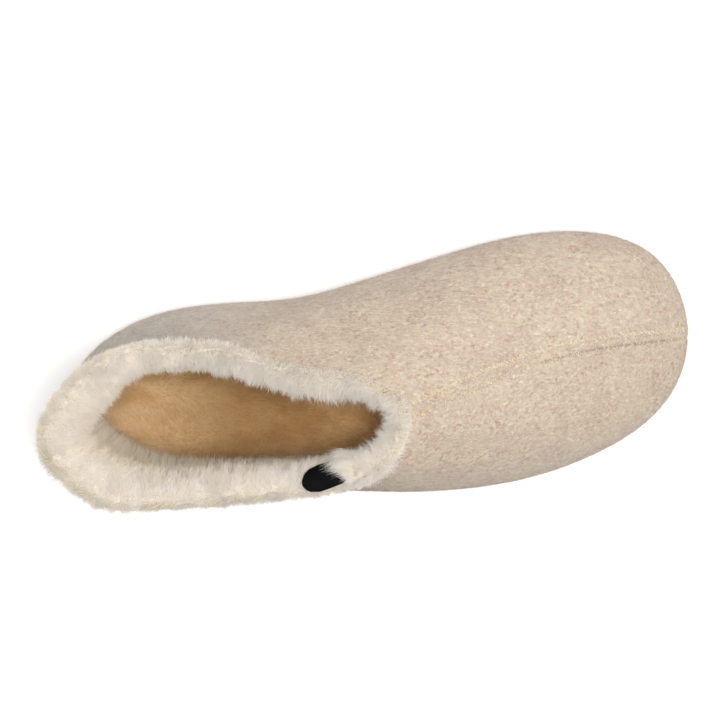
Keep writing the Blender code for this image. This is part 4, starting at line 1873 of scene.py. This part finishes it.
@dataclass
class Stitching:
    """Two zigzag rows of the centre seam and the overlock of the felt edge."""

    form: BootForm
    upper: FeltUpper
    finish: ThreadFinish = ThreadFinish()
    radius: float = 0.2 * MM
    pitch: float = 1.9 * MM
    swing: float = 2.2 * MM
    jitter: float = 0.45
    knots: int = 5
    lift: float = 0.25 * MM
    hole_shade: float = 0.3 * MM
    hole_share: float = 0.12
    seam_ends: tuple[float, float] = (0.07, 0.975)
    beside_ends: tuple[float, float] = (0.12, 0.985)
    leg_worn: tuple[float, float] = (0.1, 0.75)
    more_worn: float = 0.5
    seam_yellow: tuple[float, float] = (0.15, 0.85)
    yellow_up: tuple[float, float] = (0.86, 0.96)
    middle_worn: tuple[float, float] = (0.62, 0.52)
    toe_worn: tuple[float, float] = (0.34, 0.14)
    overlock_pitch: float = 1.7 * MM
    overlock_rows: tuple[float, float] = (0.7, 2.3)
    overlock_lift: float = 0.7 * MM
    overlock_heel_at: float = 0.60
    overlock_heel_share: float = 0.14
    overlock_heel_full: float = 1.6
    overlock_heel_rows: float = 2.2
    overlock_heel_lift: float = 0.7
    overlock_slant: tuple[float, float] = (-0.3, 1.3)
    overlock_across: tuple[float, float] = (0.7, 1.1)
    overlock_yellow: tuple[float, float] = (0.4, 1.0)
    overlock_tone: float = 0.95
    draw: np.random.Generator = field(default_factory=lambda: np.random.default_rng(51))

    def build(self) -> None:
        """Make all rows of stitches."""
        self._seam_rows()
        self._overlock()

    def _add(self, name: str, radius: float, paths: np.ndarray, normals: np.ndarray,
             colors: np.ndarray) -> None:
        """Keep one piece of stitches.

        Args:
            name: name of the piece.
            radius: radius of the thread.
            paths: points of each stitch.
            normals: outward directions there.
            colors: a colour for each stitch.
        """
        mesh = Thread(radius).mesh(name, paths, normals, colors)
        keep(Mesher.link(name, mesh, self.finish.material()), Slot.FELT)

    def _seam_rows(self) -> None:
        """Zigzag rows on the seam and beside it, and dark dots of painted shade in their needle holes."""
        rows = [self._zigzag(0.0, *self.seam_ends), self._zigzag(1.0, *self.beside_ends)]
        around, up = np.concatenate(rows, 1)
        pale, yellow = self.seam_yellow
        colors = self.finish.tints(pale + (yellow - pale) * fade(up.mean(1), *self.yellow_up))
        self._add("seam_stitches", self.radius, *self._lay(around, up), colors)
        first = np.linspace(0, self.hole_share, self.knots)
        hole_around = around[:, :1] + (around[:, -1:] - around[:, :1]) * first
        hole_up = up[:, :1] + (up[:, -1:] - up[:, :1]) * first
        # Dark dots of painted shade in the needle holes.
        dark = np.broadcast_to(np.array(self.finish.hole_shade), (len(up), 3))
        self._add("needle_hole_shade", self.hole_shade, *self._lay(hole_around, hole_up, 0.0), dark)

    def _zigzag(self, band_share: float, low: float, high: float) -> tuple[np.ndarray, np.ndarray]:
        """Legs of one zigzag row, with a few of them worn away.

        Args:
            band_share: 0 for the row on the seam, 1 for the row beside it.
            low: height up the wall where it starts.
            high: height where it ends.

        Returns:
            Ways round and heights up the wall of each leg's points.
        """
        form = self.form
        fine = np.linspace(low, high, 400)
        line = form.wall(form.seam_around(fine), fine)
        run = np.concatenate([[0], np.cumsum(np.linalg.norm(np.diff(line, axis=0), axis=1))])
        count = int(run[-1] / self.pitch * 2)
        steps = np.arange(count + 1) + self.jitter * self.draw.uniform(-0.5, 0.5, count + 1)
        ends = np.interp(steps / count * run[-1], run, fine)
        swing = np.where(np.arange(count + 1) % 2 == 0, -0.5, 0.5) * self.swing
        swing = swing * (1 + self.jitter * self.draw.uniform(-1, 1, count + 1))
        share = np.linspace(0.04, 0.96, self.knots)
        up = ends[:-1, None] * (1 - share) + ends[1:, None] * share
        off = swing[:-1, None] * (1 - share) + swing[1:, None] * share
        off = off + band_share * form.seam_band(up)
        around = form.seam_around(up) + off / form.pace(form.seam_around(up), up)
        worn = np.where(np.arange(count) % 2 == 0, *self.leg_worn)
        worn = worn + self.more_worn * (1 - band_share) * fade(ends[:-1], *self.middle_worn)
        worn = worn + self.more_worn * fade(ends[:-1], *self.toe_worn)
        left = self.draw.uniform(0, 1, count) > worn
        return around[left], up[left]

    def _lay(self, around: np.ndarray, up: np.ndarray, rise: float = 1.0) -> tuple[np.ndarray, np.ndarray]:
        """Points on the felt's face with a thread's arch, and the normals there.

        Args:
            around: ways round of each stitch's points.
            up: their heights up the wall.
            rise: share of the arch.

        Returns:
            The points and the normals.
        """
        flat_around = around.ravel()
        flat_up = up.ravel()
        face = self.upper.face(flat_around, flat_up)
        normal, _, _ = self.form.wall_axes(flat_around, flat_up)
        arch = np.broadcast_to(np.sin(np.linspace(0, np.pi, self.knots)), around.shape).ravel()
        points = face + normal * (self.lift * (rise * arch - 0.2))[:, None]
        return points.reshape(*around.shape, 3), normal.reshape(*around.shape, 3)

    def _overlock(self) -> None:
        """Loops over the felt edge, leaning like an overlock's."""
        form = self.form
        fine = np.linspace(0, 1, 1200)
        line = form.wall(fine, 1.0)
        run = np.concatenate([[0], np.cumsum(np.linalg.norm(np.diff(line, axis=0), axis=1))])
        count = int(run[-1] / self.overlock_pitch)
        starts = np.interp(np.arange(count) / count * run[-1], run, fine)
        share = np.linspace(0, 1, self.knots)
        slant = self.draw.uniform(*self.overlock_slant, (count, 1))
        inward = near(starts, self.overlock_heel_at, self.overlock_heel_share, self.overlock_heel_full)
        inward = inward[:, None]
        around = starts[:, None] + share * slant * (1 + inward) / count
        low, high = self.overlock_rows
        across = share * self.draw.uniform(*self.overlock_across, (count, 1)) * (1 - 0.5 * inward)
        row = low + (high - low) * across + self.overlock_heel_rows * inward
        normal, _, _ = form.wall_axes(around, np.ones_like(around))
        normal = unit(normal * (1 - inward)[..., None] + SKYWARD)
        lift = self.overlock_lift * (1 + self.overlock_heel_lift * inward)
        points = form.pile_point(around, row) + normal * lift[..., None]
        colors = self.finish.tints(self.draw.uniform(*self.overlock_yellow, count)) * self.overlock_tone
        shown = np.interp(starts, *zip(*OVERLOCK), period=1.0)
        left = self.draw.uniform(0, 1, count) < shown
        self._add("collar_overlock", self.radius, points[left], normal[left], colors[left])


@dataclass
class SideTab:
    """Plain black tab on the collar's outer side."""

    finish: TabFinish = TabFinish()
    bevel: float = 0.5 * MM

    def build(self, frame: dict) -> None:
        """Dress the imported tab.

        Args:
            frame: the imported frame.
        """
        mesh = frame["nodes"]["side_tab"].data.copy()
        mesh.name = "plain_tab"
        mesh.materials.clear()
        with Mesher.edited(mesh) as bm:
            bmesh.ops.remove_doubles(bm, verts=bm.verts, dist=WELD)
        mesh.shade_smooth()
        tab = Mesher.link("plain_tab", mesh, self.finish.material())
        soft = tab.modifiers.new("soft edges", "BEVEL")
        soft.width = self.bevel
        soft.segments = 3
        soft.limit_method = "ANGLE"
        soft.angle_limit = math.radians(40)
        keep(tab, Slot.TAB, "side_tab")


@dataclass
class Outsole:
    """Thin sole under the boot."""

    finish: SoleFinish = SoleFinish()

    def dress(self, frame: dict) -> None:
        """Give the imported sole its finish.

        Args:
            frame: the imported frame.
        """
        solid = frame["nodes"]["outsole"]
        solid.data.materials.clear()
        solid.data.materials.append(self.finish.material())
        log.info("dressed outsole")


@dataclass
class Studio:
    """Pale floor, soft light and the camera at the photograph's angle."""

    aim: tuple[float, float, float] = (-3.9 * MM, 10.6 * MM, 50 * MM)
    distance: float = 1166.4 * MM
    azimuth: float = 170.46
    elevation: float = 80.2
    roll: float = -175.2
    lens: float = 140.0
    floor_size: float = 6.0
    floor_color: tuple[float, float, float] = (0.90, 0.90, 0.90)
    floor_glow: float = 0.26
    floor_gap: float = 0.2 * MM
    world_light: float = 0.26

    def build(self) -> None:
        """Make the stage."""
        self._floor()
        self._lights()
        self._camera()

    def _floor(self) -> None:
        """Plain pale floor."""
        mesh = bpy.data.meshes.new("floor")
        with Mesher.edited(mesh) as bm:
            bmesh.ops.create_grid(bm, x_segments=1, y_segments=1, size=self.floor_size / 2)
            bmesh.ops.translate(bm, verts=bm.verts, vec=(0.0, 0.0, -self.floor_gap))
        bench = NodeBench("pale floor")
        bench.shader.inputs["Emission Color"].default_value = (1.0, 1.0, 1.0, 1.0)
        bench.shader.inputs["Emission Strength"].default_value = self.floor_glow
        floor = Mesher.link("floor", mesh, bench.finish(self.floor_color, 0.9, specular=0.1))

    def _lights(self) -> None:
        """Four soft boxes and an even sky."""
        world = bpy.data.worlds.new("studio")
        bpy.context.scene.world = world
        world.use_nodes = True
        sky = world.node_tree.nodes["Background"]
        sky.inputs["Color"].default_value = (1.0, 1.0, 1.0, 1.0)
        sky.inputs["Strength"].default_value = self.world_light
        for box in SOFT_BOXES:
            self._hang(box)
        view = bpy.context.scene.view_settings
        view.view_transform = "Standard"
        view.look = "None"

    def _hang(self, box: SoftBox) -> None:
        """Make a soft box that points at the boot.

        Args:
            box: its place, size and light.
        """
        light = bpy.data.lights.new(box.name, "AREA")
        light.size = box.size
        light.energy = box.power
        light.color = box.color
        lamp = bpy.data.objects.new(box.name, light)
        lamp.location = box.place
        lamp.rotation_euler = (Vector(self.aim) - Vector(box.place)).to_track_quat("-Z", "Y").to_euler()
        bpy.context.scene.collection.objects.link(lamp)

    def _camera(self) -> None:
        """Camera over the boot, rolled as the photograph is."""
        turn, height, roll = (math.radians(a) for a in (self.azimuth, self.elevation, self.roll))
        level_way = Vector((-math.sin(turn), math.cos(turn), 0.0))
        forward = level_way * math.cos(height) - Vector((0, 0, math.sin(height)))
        level = forward.cross(Vector((0, 0, 1))).normalized()
        above = level.cross(forward)
        right = level * math.cos(roll) + above * math.sin(roll)
        back = -forward
        upright = back.cross(right)
        data = bpy.data.cameras.new("photo camera")
        data.lens = self.lens
        data.sensor_width = 36.0
        camera = bpy.data.objects.new("photo camera", data)
        axes = Matrix((right, upright, back)).transposed().to_4x4()
        camera.matrix_world = Matrix.Translation(Vector(self.aim) + back * self.distance) @ axes
        bpy.context.scene.collection.objects.link(camera)
        bpy.context.scene.camera = camera


def main() -> None:
    """Dress the boot and set its stage."""
    logging.basicConfig(level=logging.INFO, format="%(name)s: %(message)s")
    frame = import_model()
    form = BootForm()
    upper = FeltUpper(form)
    upper.build()
    Stitching(form, upper).build()
    CollarPile(form).build()
    WallLining(form).build()
    Footbed(form).build()
    SideTab().build(frame)
    Outsole().dress(frame)
    Studio().build()


if __name__ == "__main__":
    main()
